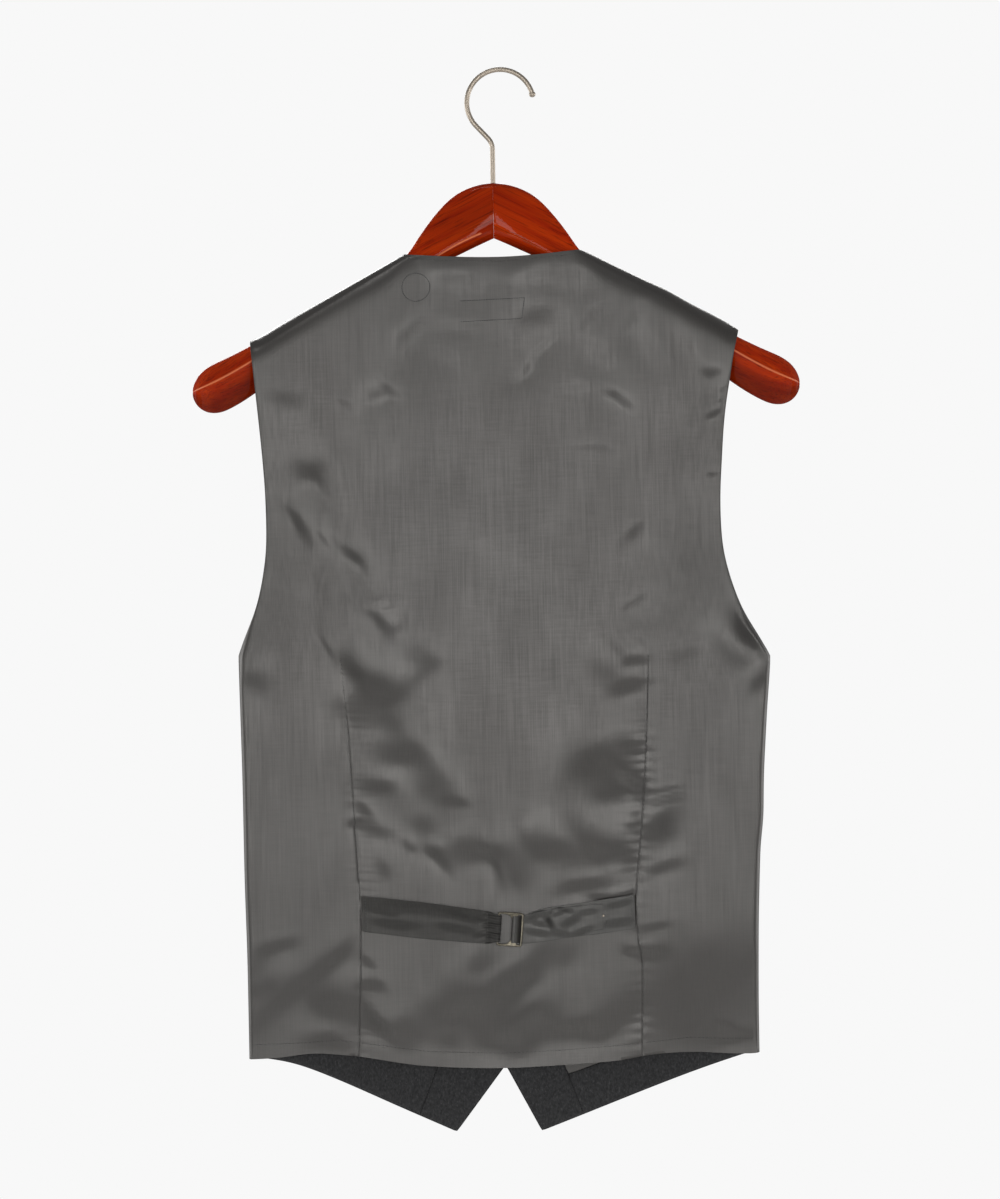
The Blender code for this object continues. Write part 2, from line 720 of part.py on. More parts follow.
def round_bar(bar_x, bar_wire, angles):
    """Stations of a strap's middle where it turns round a bar of the buckle."""
    reach = bar_wire + PIECE_GAP + STRAP_WALL / 2.0
    lean = math.radians(BUCKLE_LEAN)
    stations = []
    for angle in angles:
        turn = math.radians(angle)
        x = bar_x + reach * math.cos(turn)
        z = BUCKLE_Z - (x - BUCKLE_X) * math.sin(lean)
        lift = BUCKLE_LIFT + reach * math.sin(turn)
        stations.append(Station(x, z, GATHERED_HALF, BUCKLE_LEAN, lift))
    return stations


def strap_grid(stations):
    lines = []
    buckle_y = satin_y(BUCKLE_X, BUCKLE_Z)
    for station in stations:
        lean = math.radians(station.lean)
        line = []
        for step in range(STRAP_CELLS + 1):
            along = station.half * (1.0 - 2.0 * step / STRAP_CELLS)
            x = station.x + along * math.sin(lean)
            z = station.z + along * math.cos(lean)
            near_buckle = ramp(24.0, 14.0, abs(station.x - BUCKLE_X))
            y = mix(satin_y(x, z), buckle_y, near_buckle) - station.lift
            line.append((x, y, z))
        lines.append(line)
    return np.array(lines)


def left_strap_stations():
    bar_x = BUCKLE_X - BUCKLE_WIDTH / 2.0
    turn = round_bar(bar_x, BUCKLE_WIRE, (100.0, 60.0, 20.0, -20.0, -60.0, -100.0))
    return LEFT_STRAP_OUT + turn + LEFT_STRAP_BACK


def right_strap_stations():
    bar_x = BUCKLE_X + MIDDLE_BAR_X
    turn = round_bar(bar_x, MIDDLE_BAR_WIRE, (-80.0, -120.0, -160.0, -200.0, -240.0, -280.0))
    return RIGHT_STRAP_OUT + turn + RIGHT_STRAP_BACK


# ---------------------------------------------------------------- meshes

def remove_everything():
    for item in list(bpy.data.objects):
        bpy.data.objects.remove(item, do_unlink=True)


def new_collection(name):
    collection = bpy.data.collections.new(name)
    bpy.context.scene.collection.children.link(collection)
    return collection


def make_material(name, colour, roughness, metallic=0.0):
    material = bpy.data.materials.new(name)
    material.use_nodes = True
    shader = material.node_tree.nodes["Principled BSDF"]
    shader.inputs["Base Color"].default_value = (*colour, 1.0)
    shader.inputs["Roughness"].default_value = roughness
    shader.inputs["Metallic"].default_value = metallic
    return material


def add_object(name, data, material, collection):
    item = bpy.data.objects.new(name, data)
    if material:
        data.materials.append(material)
    collection.objects.link(item)
    return item


def as_cutter(item):
    item.hide_render = True
    item.display_type = "WIRE"
    return item


def boolean(item, other, operation):
    modifier = item.modifiers.new(operation.title(), "BOOLEAN")
    modifier.operation = operation
    modifier.solver = "EXACT"
    modifier.object = other


def cloth_panel(name, grid, wall, material, collection, outward=1.0):
    """A panel of cloth: an open grid of points thickened away from the body or towards it.

    outward is 1 where the grid's normals point the way the wall thickens.
    """
    rows, columns = grid.shape[:2]
    mesh = bpy.data.meshes.new(name)
    corners = []
    for row in range(rows - 1):
        for column in range(columns - 1):
            first = row * columns + column
            below = first + columns
            for face in ((first, below, below + 1), (first, below + 1, first + 1)):
                corners.append(face if outward > 0.0 else face[::-1])
    mesh.from_pydata([tuple(point * MM) for point in grid.reshape(-1, 3)], [], corners)
    mesh.shade_smooth()
    panel = add_object(name, mesh, material, collection)
    solidify = panel.modifiers.new("Wall", "SOLIDIFY")
    solidify.thickness = wall * MM
    solidify.offset = 1.0
    return panel


def loft(name, rings, material, collection):
    """A closed skin through rings of equal count, with a flat cap on each end."""
    mesh = bpy.data.meshes.new(name)
    shape = bmesh.new()
    lines = [[shape.verts.new(Vector(point) * MM) for point in ring] for ring in rings]
    count = len(rings[0])
    for near, far in zip(lines[:-1], lines[1:]):
        for index in range(count):
            following = (index + 1) % count
            shape.faces.new((near[index], near[following], far[following], far[index]))
    shape.faces.new(lines[0][::-1])
    shape.faces.new(lines[-1])
    bmesh.ops.recalc_face_normals(shape, faces=shape.faces)
    shape.to_mesh(mesh)
    shape.free()
    mesh.shade_smooth()
    mesh.set_sharp_from_angle(angle=math.radians(50.0))
    return add_object(name, mesh, material, collection)


def wire(name, points, radius, collection, cyclic=False):
    """A round wire along points, made a welded mesh so that it can be joined."""
    curve = bpy.data.curves.new(name, "CURVE")
    curve.dimensions = "3D"
    curve.bevel_depth = radius * MM
    curve.bevel_resolution = 2
    curve.use_fill_caps = not cyclic
    spline = curve.splines.new("POLY")
    spline.points.add(len(points) - 1)
    for target, point in zip(spline.points, points):
        target.co = (*(Vector(point) * MM), 1.0)
    spline.use_cyclic_u = cyclic
    guide = add_object(name, curve, None, collection)
    evaluated = guide.evaluated_get(bpy.context.evaluated_depsgraph_get())
    mesh = bpy.data.meshes.new_from_object(evaluated)
    shape = bmesh.new()
    shape.from_mesh(mesh)
    bmesh.ops.remove_doubles(shape, verts=shape.verts, dist=1e-6)
    shape.to_mesh(mesh)
    shape.free()
    mesh.shade_smooth()
    mesh.set_sharp_from_angle(angle=math.radians(50.0))
    item = bpy.data.objects.new(name, mesh)
    item.matrix_world = guide.matrix_world
    collection.objects.link(item)
    bpy.data.objects.remove(guide, do_unlink=True)
    bpy.data.curves.remove(curve)
    item.name = name
    return item


# ---------------------------------------------------------------- hanger

def arm_ring(out, side):
    """One section of an arm: crest, front, foot and back joined by rounded quarters."""
    top, bottom = arm_top(out), arm_bottom(out)
    middle = arm_sweep(out)
    half = arm_thick(out) / 2.0
    widest = top - arm_drop(out)
    past = max(out - (ARM_LENGTH - ARM_END_ROUND), 0.0) / ARM_END_ROUND
    shrink = math.sqrt(max(1.0 - past**3, 0.0))
    centre_z = (top + bottom) / 2.0
    ring = []
    for index in range(ARM_RING_POINTS):
        angle = 360.0 * index / ARM_RING_POINTS
        upper = angle <= 180.0
        roundness = ARM_UPPER_ROUNDNESS if upper else arm_boxy(out)
        reach_out, reach_up = superellipse(angle, roundness)
        y = half * reach_out * (1.0 if math.cos(math.radians(angle)) >= 0.0 else -1.0)
        rise = (top - widest) * reach_up if upper else -(widest - bottom) * reach_up
        z = centre_z + (widest + rise - centre_z) * shrink
        ring.append((HANGER_X + side * out, middle + y * shrink, z))
    return ring


def build_arm(name, side, material, collection, bore):
    places = [ARM_JOINT_GAP / 2.0]
    places += [section.out for section in ARM[1:-2]]
    places += ARM_END_PLACES
    arm = loft(name, [arm_ring(out, side) for out in places], material, collection)
    boolean(arm, bore, "DIFFERENCE")
    return arm


def hook_points():
    centre_z = WIRE_RADIUS - HOOK_RADIUS
    points = []
    steps = 19
    for step in range(steps + 1):
        turn = math.radians(mix(HOOK_TIP_ANGLE, HOOK_BACK_ANGLE, step / steps))
        points.append((HOOK_RADIUS * math.cos(turn), 0.0, centre_z + HOOK_RADIUS * math.sin(turn)))
    end_x, _, end_z = points[-1]
    slope = math.radians(HOOK_BACK_ANGLE - 180.0)
    run_x, run_z = math.sin(slope), -math.cos(slope)
    to_stem = (HANGER_X - end_x) / run_x
    corner_z = end_z + to_stem * run_z
    cut_back = HOOK_BEND_RADIUS * math.tan(slope / 2.0)
    bend_steps = 4
    for step in range(bend_steps + 1):
        turn = slope * (1.0 - step / bend_steps)
        x = HANGER_X - HOOK_BEND_RADIUS * (1.0 - math.cos(turn))
        z = corner_z - cut_back + HOOK_BEND_RADIUS * math.sin(turn)
        points.append((x, 0.0, z))
    points.append((HANGER_X, 0.0, STEM_END_Z))
    return points


def build_hanger(steel, wood, collection, cutters):
    points = hook_points()
    hook = wire("hanger_hook", points, WIRE_RADIUS, collection)
    hook.data.materials.append(steel)
    shape = bmesh.new()
    bmesh.ops.create_uvsphere(shape, u_segments=12, v_segments=8, radius=HOOK_BALL_RADIUS * MM)
    ball_mesh = bpy.data.meshes.new("hook_ball")
    shape.to_mesh(ball_mesh)
    shape.free()
    ball = as_cutter(add_object("hook_ball", ball_mesh, steel, cutters))
    ball.location = Vector(points[0]) * MM
    boolean(hook, ball, "UNION")
    shape = bmesh.new()
    bmesh.ops.create_cone(
        shape, cap_ends=True, segments=12, radius1=BORE_RADIUS * MM, radius2=BORE_RADIUS * MM,
        depth=(ARM[0].top + BORE_OVERSHOOT - BORE_END_Z) * MM,
    )
    bore_mesh = bpy.data.meshes.new("stem_bore")
    shape.to_mesh(bore_mesh)
    shape.free()
    bore = as_cutter(add_object("stem_bore", bore_mesh, None, cutters))
    bore.location = Vector((HANGER_X, 0.0, (ARM[0].top + BORE_OVERSHOOT + BORE_END_Z) / 2.0)) * MM
    build_arm("hanger_arm_left", -1.0, wood, collection, bore)
    build_arm("hanger_arm_right", 1.0, wood, collection, bore)


# ---------------------------------------------------------------- waistcoat

def build_back(satin, collection):
    cloth_panel("back", back_grid(), BACK_WALL, satin, collection)


def build_front(side, wool, satin, collection):
    """A front with its facing, hem facing and lining, each made from the front's points."""
    hand = "left" if side < 0.0 else "right"
    outward = 1.0 if side < 0.0 else -1.0
    grid = front_grid(side)
    cloth_panel(f"front_{hand}", grid, FRONT_WALL, wool, collection, outward)
    inner = moved_out(grid, -PIECE_GAP * outward)[len(FRONT_TURN_ANGLES) - 1:]
    facing = inner[:, :FACING_CELLS + 1].copy()
    draw_in(facing, "first column", EDGE_INSET)
    draw_in(facing, "last row", EDGE_INSET)
    cloth_panel(f"facing_{hand}", facing, FACING_WALL, wool, collection, -outward)
    rest = inner[:, FACING_CELLS:FACING_CELLS + LINING_CELLS + 1].copy()
    draw_in(rest, "first column", PIECE_GAP)
    hem_facing = rest[-HEM_FACING_CELLS - 1:].copy()
    draw_in(hem_facing, "last row", EDGE_INSET)
    cloth_panel(f"hem_facing_{hand}", hem_facing, FACING_WALL, wool, collection, -outward)
    lining = rest[:-HEM_FACING_CELLS].copy()
    draw_in(lining, "last row", PIECE_GAP)
    cloth_panel(f"lining_{hand}", lining, FACING_WALL, satin, collection, -outward)


def build_straps(satin, collection):
    left = strap_grid(left_strap_stations())
    right = strap_grid(right_strap_stations())
    for name, grid in (("strap_left", left), ("strap_right", right)):
        strap = cloth_panel(name, grid, STRAP_WALL, satin, collection)
        strap.modifiers["Wall"].offset = 0.0


def build_buckle(brass, collection, cutters):
    corners = ((1.0, 1.0, 0.0), (-1.0, 1.0, 90.0), (-1.0, -1.0, 180.0), (1.0, -1.0, 270.0))
    points = []
    for across_sign, up_sign, start in corners:
        middle_x = across_sign * (BUCKLE_WIDTH / 2.0 - BUCKLE_CORNER)
        middle_z = up_sign * (BUCKLE_HEIGHT / 2.0 - BUCKLE_CORNER)
        for step in range(4):
            turn = math.radians(start + 30.0 * step)
            x = middle_x + BUCKLE_CORNER * math.cos(turn)
            z = middle_z + BUCKLE_CORNER * math.sin(turn)
            points.append((x, 0.0, z))
    buckle = wire("buckle", points, BUCKLE_WIRE, collection, cyclic=True)
    buckle.data.materials.append(brass)
    half = BUCKLE_HEIGHT / 2.0
    bar = wire(
        "middle_bar", [(MIDDLE_BAR_X, 0.0, half), (MIDDLE_BAR_X, 0.0, -half)],
        MIDDLE_BAR_WIRE, cutters,
    )
    as_cutter(bar)
    boolean(buckle, bar, "UNION")
    y = satin_y(BUCKLE_X, BUCKLE_Z) - BUCKLE_LIFT
    place = Matrix.Translation(Vector((BUCKLE_X, y, BUCKLE_Z)) * MM)
    place @= Matrix.Rotation(math.radians(BUCKLE_LEAN), 4, "Y")
    buckle.matrix_world = place
    bar.matrix_world = place


def build_buttons(horn, collection, cutters):
    """Four-holed buttons on the outer face of the left front."""
    profile = bpy.data.meshes.new("button")
    points = [(x * MM, 0.0, z * MM) for x, z in BUTTON_PROFILE[::-1]]
    profile.from_pydata(points, [(index, index + 1) for index in range(len(points) - 1)], [])
    profile.materials.append(horn)
    shape = bmesh.new()
    for turn in (45.0, 135.0, 225.0, 315.0):
        out = BUTTON_HOLE_OUT * math.sqrt(2.0) * MM
        middle = (out * math.cos(math.radians(turn)), out * math.sin(math.radians(turn)), 0.0)
        bmesh.ops.create_cone(
            shape, cap_ends=True, segments=BUTTON_HOLE_SIDES, radius1=BUTTON_HOLE_RADIUS * MM,
            radius2=BUTTON_HOLE_RADIUS * MM, depth=BUTTON_HOLE_DEPTH * MM, matrix=Matrix.Translation(middle),
        )
    holes_mesh = bpy.data.meshes.new("button_holes")
    shape.to_mesh(holes_mesh)
    shape.free()
    for index in range(BUTTON_COUNT):
        z = mix(TOP_BUTTON_Z, LAST_BUTTON_Z, index / (BUTTON_COUNT - 1))
        y = front_y(GARMENT_X, z, -1.0) + FRONT_WALL + BUTTON_LIFT
        place = Matrix.Translation(Vector((GARMENT_X, y, z)) * MM)
        place @= Matrix.Rotation(math.radians(-90.0), 4, "X")
        button = bpy.data.objects.new(f"button_{index + 1}", profile)
        collection.objects.link(button)
        turned_profile = button.modifiers.new("Turned", "SCREW")
        turned_profile.axis = "Z"
        turned_profile.steps = BUTTON_SIDES
        turned_profile.render_steps = BUTTON_SIDES
        turned_profile.use_merge_vertices = True
        turned_profile.merge_threshold = 0.00001
        holes = as_cutter(add_object(f"button_holes_{index + 1}", holes_mesh, None, cutters))
        button.matrix_world = place
        holes.matrix_world = place
        boolean(button, holes, "DIFFERENCE")


def main():
    remove_everything()
    collection = new_collection("waistcoat_and_hanger")
    cutters = new_collection("cutters")
    satin = make_material("grey satin", (0.128, 0.124, 0.120), 0.38)
    wool = make_material("charcoal wool", (0.034, 0.034, 0.035), 0.9)
    wood = make_material("lacquered cherry wood", (0.30, 0.035, 0.012), 0.22)
    steel = make_material("satin nickel", (0.55, 0.53, 0.50), 0.32, 1.0)
    brass = make_material("antique brass", (0.20, 0.17, 0.12), 0.35, 1.0)
    horn = make_material("dark horn", (0.02, 0.02, 0.021), 0.35)
    build_hanger(steel, wood, collection, cutters)
    build_back(satin, collection)
    for side in (-1.0, 1.0):
        build_front(side, wool, satin, collection)
    build_straps(satin, collection)
    build_buckle(brass, collection, cutters)
    build_buttons(horn, collection, cutters)
    cutters.hide_render = True


main()
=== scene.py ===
import math

import bmesh
import bpy
import numpy as np
from mathutils import Matrix, Vector
from mathutils.bvhtree import BVHTree


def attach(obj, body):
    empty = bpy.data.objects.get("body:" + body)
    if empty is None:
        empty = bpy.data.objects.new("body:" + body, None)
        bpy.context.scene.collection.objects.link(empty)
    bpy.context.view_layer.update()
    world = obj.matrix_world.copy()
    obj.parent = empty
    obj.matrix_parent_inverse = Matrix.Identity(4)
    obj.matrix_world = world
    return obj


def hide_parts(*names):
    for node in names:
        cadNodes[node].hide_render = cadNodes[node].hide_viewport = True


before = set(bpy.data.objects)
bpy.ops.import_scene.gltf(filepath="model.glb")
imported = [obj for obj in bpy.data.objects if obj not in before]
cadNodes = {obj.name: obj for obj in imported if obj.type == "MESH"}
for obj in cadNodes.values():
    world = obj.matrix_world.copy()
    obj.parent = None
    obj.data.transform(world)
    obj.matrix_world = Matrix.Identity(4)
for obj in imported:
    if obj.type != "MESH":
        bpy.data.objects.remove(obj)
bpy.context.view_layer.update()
mm = 0.001


def toLinear(hexColour):
    parts = [int(hexColour[i:i + 2], 16) / 255 for i in (1, 3, 5)]
    return tuple(p / 12.92 if p <= 0.04045 else ((p + 0.055) / 1.055) ** 2.4 for p in parts) + (1.0,)


def deselectAll():
    for item in bpy.context.selected_objects:
        item.select_set(False)
    bpy.context.view_layer.objects.active = None


def editAll():
    bpy.ops.object.mode_set(mode="EDIT")
    bpy.ops.mesh.select_all(action="SELECT")


def pick(item):
    deselectAll()
    item.select_set(True)
    bpy.context.view_layer.objects.active = item


def applyAll(item):
    pick(item)
    for modifier in list(item.modifiers):
        bpy.ops.object.modifier_apply(modifier=modifier.name)


def setInputs(tree, node, inputs):
    for name, value in inputs.items():
        if isinstance(value, bpy.types.NodeSocket):
            tree.links.new(value, node.inputs[name])
        else:
            node.inputs[name].default_value = value


def addNode(tree, kind, inputs=None, settings=None):
    node = tree.nodes.new("ShaderNode" + kind)
    for name, value in (settings or {}).items():
        setattr(node, name, value)
    setInputs(tree, node, inputs or {})
    return node


def newMaterial(name, attribute=None):
    # a surface, and the space that its pattern lies in: the piece's coordinates, or an attribute of it
    material = bpy.data.materials.new(name)
    material.use_nodes = True
    tree = material.node_tree
    if attribute:
        space = addNode(tree, "Attribute", settings={"attribute_name": attribute}).outputs["Vector"]
    else:
        space = addNode(tree, "TexCoord").outputs["Object"]
    return material, tree, tree.nodes["Principled BSDF"], space


def stretchedNoise(tree, space, scale, detail, turn=(0, 0, 0)):
    # noise whose grains are as long as 1 / scale metres on each axis
    mapping = addNode(tree, "Mapping", {"Vector": space, "Scale": scale, "Rotation": turn})
    noise = addNode(tree, "TexNoise", {"Vector": mapping.outputs[0], "Scale": 1.0, "Detail": detail})
    return noise.outputs["Fac"]


def weighted(tree, first, firstShare, second, secondShare):
    # two patterns added up in their shares
    parts = [addNode(tree, "Math", {0: pattern, 1: share}, {"operation": "MULTIPLY"}).outputs[0]
             for pattern, share in ((first, firstShare), (second, secondShare))]
    return addNode(tree, "Math", {0: parts[0], 1: parts[1]}, {"operation": "ADD"}).outputs[0]


def tinted(tree, colour, shade, pattern, low, high, most=1.0, least=0.0):
    # lays a shade over a colour, more and more where the pattern runs from low to high
    amount = addNode(tree, "MapRange", {"Value": pattern, "From Min": low, "From Max": high,
                                        "To Min": least, "To Max": most})
    if isinstance(colour, str):
        colour = toLinear(colour)
    inputs = {0: amount.outputs[0], 6: colour, 7: toLinear(shade)}
    return addNode(tree, "Mix", inputs, {"data_type": "RGBA"}).outputs[2]


print("camera, floor and lights")

studio = {
    "cameraPlace": (-5.75, -3500.0, -384.8),
    "cameraTurn": 0.9,      # degrees that the camera is rolled by
    "pictureHeight": 874.7,
    "lampTarget": (0, 0, -390),
    "floorDepth": -1600.0,
    "floorRadius": 1700.0,
    "floorColour": "#E9E9E8",
    "backdropColour": "#F8F8F8",
    "ambient": 0.22,
    "lamps": {
        "frontLight": {"place": (0, -3900, -400), "size": (3000, 700), "power": 29},
        "leftFlank": {"place": (-2300, -3500, -420), "size": (1300, 900), "power": 15},
        "rightFlank": {"place": (2300, -3500, -420), "size": (1300, 900), "power": 15},
        "topLight": {"place": (-300, -1100, 1300), "size": (320, 320), "power": 2.5},
        "sideLight": {"place": (2400, 500, -300), "size": (2600, 1500), "power": 22},
        "otherSideLight": {"place": (-2400, 500, -300), "size": (2600, 1500), "power": 22},
        "lowLight": {"place": (0, -1000, -1500), "size": (2400, 900), "power": 3},
        "rearLight": {"place": (-300, 3000, 700), "size": (1800, 1800), "power": 60},
    },
}


def paintedFloor():
    # matt painted board, which shows only a faint roller texture
    material, tree, shader, space = newMaterial("painted board")
    texture = stretchedNoise(tree, space, (60, 60, 60), 2.0)
    bump = addNode(tree, "Bump", {"Height": texture, "Strength": 0.2, "Distance": 0.002})
    setInputs(tree, shader, {"Base Color": toLinear(studio["floorColour"]), "Roughness": 0.9,
                             "Normal": bump.outputs[0]})
    return material


def addLight(name, place, size, power):
    lamp = bpy.data.lights.new(name, "AREA")
    lamp.shape = "RECTANGLE"
    lamp.size, lamp.size_y = (side * mm for side in size)
    lamp.energy = power
    item = bpy.data.objects.new(name, lamp)
    bpy.context.scene.collection.objects.link(item)
    item.location = Vector(place) * mm
    aim = (Vector(studio["lampTarget"]) - Vector(place)).normalized()
    item.rotation_euler = aim.to_track_quat("-Z", "Y").to_euler()


def setStudio():
    scene = bpy.context.scene
    turn = math.radians(studio["cameraTurn"])
    lens = bpy.data.cameras.new("camera")
    lens.sensor_width = 36.0
    lens.lens = lens.sensor_width * -studio["cameraPlace"][1] / studio["pictureHeight"]
    lens.clip_end = 50.0
    camera = bpy.data.objects.new("camera", lens)
    scene.collection.objects.link(camera)
    across = Vector((math.cos(turn), 0.0, -math.sin(turn)))
    up = Vector((math.sin(turn), 0.0, math.cos(turn)))
    camera.matrix_world = Matrix.Translation(Vector(studio["cameraPlace"]) * mm) @ Matrix(
        (across, up, Vector((0.0, -1.0, 0.0)))).transposed().to_4x4()
    scene.camera = camera
    for name, values in studio["lamps"].items():
        addLight(name, **values)

    world = bpy.data.worlds.new("studio")
    scene.world = world
    world.use_nodes = True
    tree = world.node_tree
    tree.nodes.clear()
    path = addNode(tree, "LightPath")
    seen = addNode(tree, "Background", {"Color": toLinear(studio["backdropColour"])})
    ambient = addNode(tree, "Background", {"Color": (1, 1, 1, 1), "Strength": studio["ambient"]})
    both = addNode(tree, "MixShader", {0: path.outputs["Is Camera Ray"], 1: ambient.outputs[0],
                                       2: seen.outputs[0]})
    addNode(tree, "OutputWorld", {"Surface": both.outputs[0]})
    scene.view_settings.view_transform = "Standard"

    deselectAll()
    bpy.ops.mesh.primitive_circle_add(vertices=96, radius=studio["floorRadius"] * mm, fill_type="NGON",
                                      location=(0, 0, studio["floorDepth"] * mm))
    floor = bpy.context.object
    floor.name = "floor"
    floor.data.materials.append(paintedFloor())


print("materials")

satinLook = {
    "dark": "#22201E",
    "light": "#2F2C2A",
    "cool": "#252628",      # wide drifts of a cooler grey
    "gleam": "#FFFCF8",
    "roughness": 0.40,
    "smoothest": 0.335,
    "tautGloss": 0.06,      # how much smoother the satin is where it is pulled flat beside a fold
    "streakWidth": 0.55,    # real warp threads are 0.1 mm, too fine to show, so streaks of a few are drawn
    "streakLength": 45.0,
    "slubWidth": 0.9,
    "slubLength": 18.0,
}


def satinWeave(name, look):
    # acetate satin: long warp floats give a broad silky sheen, faint upright streaks and few cross slubs
    material, tree, shader, space = newMaterial(name)
    wide = 1 / (look["streakWidth"] * mm)
    long = 1 / (look["streakLength"] * mm)
    warp = stretchedNoise(tree, space, (wide, wide, long), 3.0)
    weft = stretchedNoise(tree, space, (1 / (look["slubLength"] * mm), 20.0, 1 / (look["slubWidth"] * mm)), 2.0)
    drift = stretchedNoise(tree, space, (9.0, 9.0, 5.0), 2.0)
    blotch = stretchedNoise(tree, space, (26.0, 26.0, 17.0), 2.0)
    threads = weighted(tree, warp, 0.72, weft, 0.28)
    colour = tinted(tree, look["dark"], look["light"], threads, 0.38, 0.62)
    colour = tinted(tree, colour, look["cool"], drift, 0.35, 0.7, 0.22)

    # yarn that stands up is smoother, and satin that has been pressed and worn has duller and brighter
    # clouds, 30 to 60 mm across
    yarnGloss = addNode(tree, "MapRange", {"Value": threads, "From Min": 0.4, "From Max": 0.6,
                                           "To Min": look["roughness"] + 0.05,
                                           "To Max": look["roughness"] - 0.05}).outputs[0]
    clouds = addNode(tree, "MapRange", {"Value": blotch, "From Min": 0.35, "From Max": 0.65,
                                        "To Min": -0.022, "To Max": 0.03}).outputs[0]
    taut = addNode(tree, "Attribute", settings={"attribute_name": "taut"}).outputs["Fac"]
    roughness = weighted(tree, weighted(tree, yarnGloss, 1.0, clouds, 1.0), 1.0, taut, -look["tautGloss"])
    roughness = addNode(tree, "Math", {0: roughness, 1: look["smoothest"]}, {"operation": "MAXIMUM"})

    lean = addNode(tree, "Attribute", settings={"attribute_name": "lean"}).outputs["Vector"]
    flat = addNode(tree, "NewGeometry").outputs["Normal"]
    leaning = addNode(tree, "VectorMath", {0: flat, 1: lean}, {"operation": "ADD"})
    leaning = addNode(tree, "VectorMath", {0: leaning.outputs[0]}, {"operation": "NORMALIZE"})
    bump = addNode(tree, "Bump", {"Height": threads, "Strength": 0.2, "Distance": 0.00012,
                                  "Normal": leaning.outputs[0]})
    setInputs(tree, shader, {"Base Color": colour, "Roughness": roughness.outputs[0], "Normal": bump.outputs[0],
                             "Specular IOR Level": 1.0, "IOR": 1.55, "Specular Tint": toLinear(look["gleam"]),
                             "Sheen Weight": 0.1, "Sheen Roughness": 0.5, "Sheen Tint": toLinear(look["gleam"])})
    return material


woolLook = {
    "dark": "#282829",
    "light": "#434344",
    "fleck": "#555556",
    "twillPitch": 0.8,      # real twill lines are 0.4 mm apart, drawn twice as coarse so that they show
    "twillSlant": 52.0,
}


def worstedWool(look):
    # worsted wool twill: fine slanting lines, light and dark fibres mixed in the yarn, a dry matt surface
    material, tree, shader, space = newMaterial("worsted wool twill")
    slant = (0, math.radians(look["twillSlant"]), 0)
    turned = addNode(tree, "Mapping", {"Vector": space, "Rotation": slant}).outputs[0]
    # a wave texture of scale 1 has a line each 0.314 m
    twill = addNode(tree, "TexWave", {"Vector": turned, "Scale": 0.314 / (look["twillPitch"] * mm),
                                      "Distortion": 2.0, "Detail": 1.0, "Detail Scale": 3.0},
                    {"bands_direction": "X"}).outputs["Fac"]
    fibre = stretchedNoise(tree, space, (900, 900, 520), 2.0)
    mottle = stretchedNoise(tree, space, (520, 520, 380), 3.0)
    melange = weighted(tree, fibre, 0.45, mottle, 0.55)
    blend = addNode(tree, "MapRange", {"Value": melange, "From Min": 0.36, "From Max": 0.66,
                                       "To Min": 0.0, "To Max": 0.8}).outputs[0]
    tone = weighted(tree, blend, 1.0, twill, 0.2)
    colour = tinted(tree, look["dark"], look["light"], tone, 0.0, 1.0)
    colour = tinted(tree, colour, look["fleck"], fibre, 0.62, 0.74, 0.5)
    height = weighted(tree, twill, 0.6, melange, 1.0)
    bump = addNode(tree, "Bump", {"Height": height, "Strength": 0.6, "Distance": 0.0003})
    setInputs(tree, shader, {"Base Color": colour, "Roughness": 0.86, "Normal": bump.outputs[0],
                             "Specular IOR Level": 0.3, "Sheen Weight": 0.25, "Sheen Roughness": 0.4})
    return material


cherryLook = {
    "pale": "#C83C04",
    "red": "#A82402",
    "deep": "#4A1001",
    # colour of the painted highlight along the ridge and the lower edge
    "edge": "#F58A5C",
    "paintedShade": 0.55,         # how much painted shade darkens the lower faces
    "grainWidth": 0.8,
    "grainLength": 60.0,
}


def lacqueredCherry(look):
    # cherry stained red-brown under clear lacquer: fine dark pores along each arm, a wet-looking gloss
    material, tree, shader, along = newMaterial("lacquered cherry", "grain")
    wide = 1 / (look["grainWidth"] * mm)
    long = 1 / (look["grainLength"] * mm)
    pores = stretchedNoise(tree, along, (long, wide, wide), 4.0)
    bands = stretchedNoise(tree, along, (long * 0.5, wide * 0.16, wide * 0.16), 3.0)
    cloud = stretchedNoise(tree, along, (12, 30, 30), 2.0)
    colour = tinted(tree, look["red"], look["pale"], bands, 0.3, 0.7)
    colour = tinted(tree, colour, look["deep"], pores, 0.52, 0.7, 0.7)
    colour = tinted(tree, colour, look["deep"], cloud, 0.4, 0.7, 0.35)
    # painted shade darkens the faces below the edges, and a painted highlight lightens the ridge and the lower edge
    tone = addNode(tree, "Attribute", settings={"attribute_name": "tone"}).outputs["Fac"]
    colour = tinted(tree, colour, look["deep"], tone, -1.0, -0.1, 0.0, look["paintedShade"])
    colour = tinted(tree, colour, look["edge"], tone, 0.8, 0.97, 0.9)
    bump = addNode(tree, "Bump", {"Height": pores, "Strength": 0.1, "Distance": 0.0002})
    setInputs(tree, shader, {"Base Color": colour, "Roughness": 0.4, "Normal": bump.outputs[0],
                             "Specular IOR Level": 0.0, "Coat Weight": 0.28, "Coat Roughness": 0.05,
                             "Coat IOR": 1.5})
    return material


def metal(name, colours, scale, low, high, gloss, depth):
    # a bare metal whose scuffs or patina run through two colours, with roughness from one end to the other
    material, tree, shader, space = newMaterial(name)
    marks = stretchedNoise(tree, space, scale, 3.0)
    colour = tinted(tree, colours[0], colours[1], marks, low, high)
    roughness = addNode(tree, "MapRange", {"Value": marks, "To Min": gloss[0], "To Max": gloss[1]})
    bump = addNode(tree, "Bump", {"Height": marks, "Strength": depth, "Distance": 0.0001})
    setInputs(tree, shader, {"Base Color": colour, "Metallic": 1.0, "Roughness": roughness.outputs[0],
                             "Normal": bump.outputs[0]})
    return material, tree, shader, colour


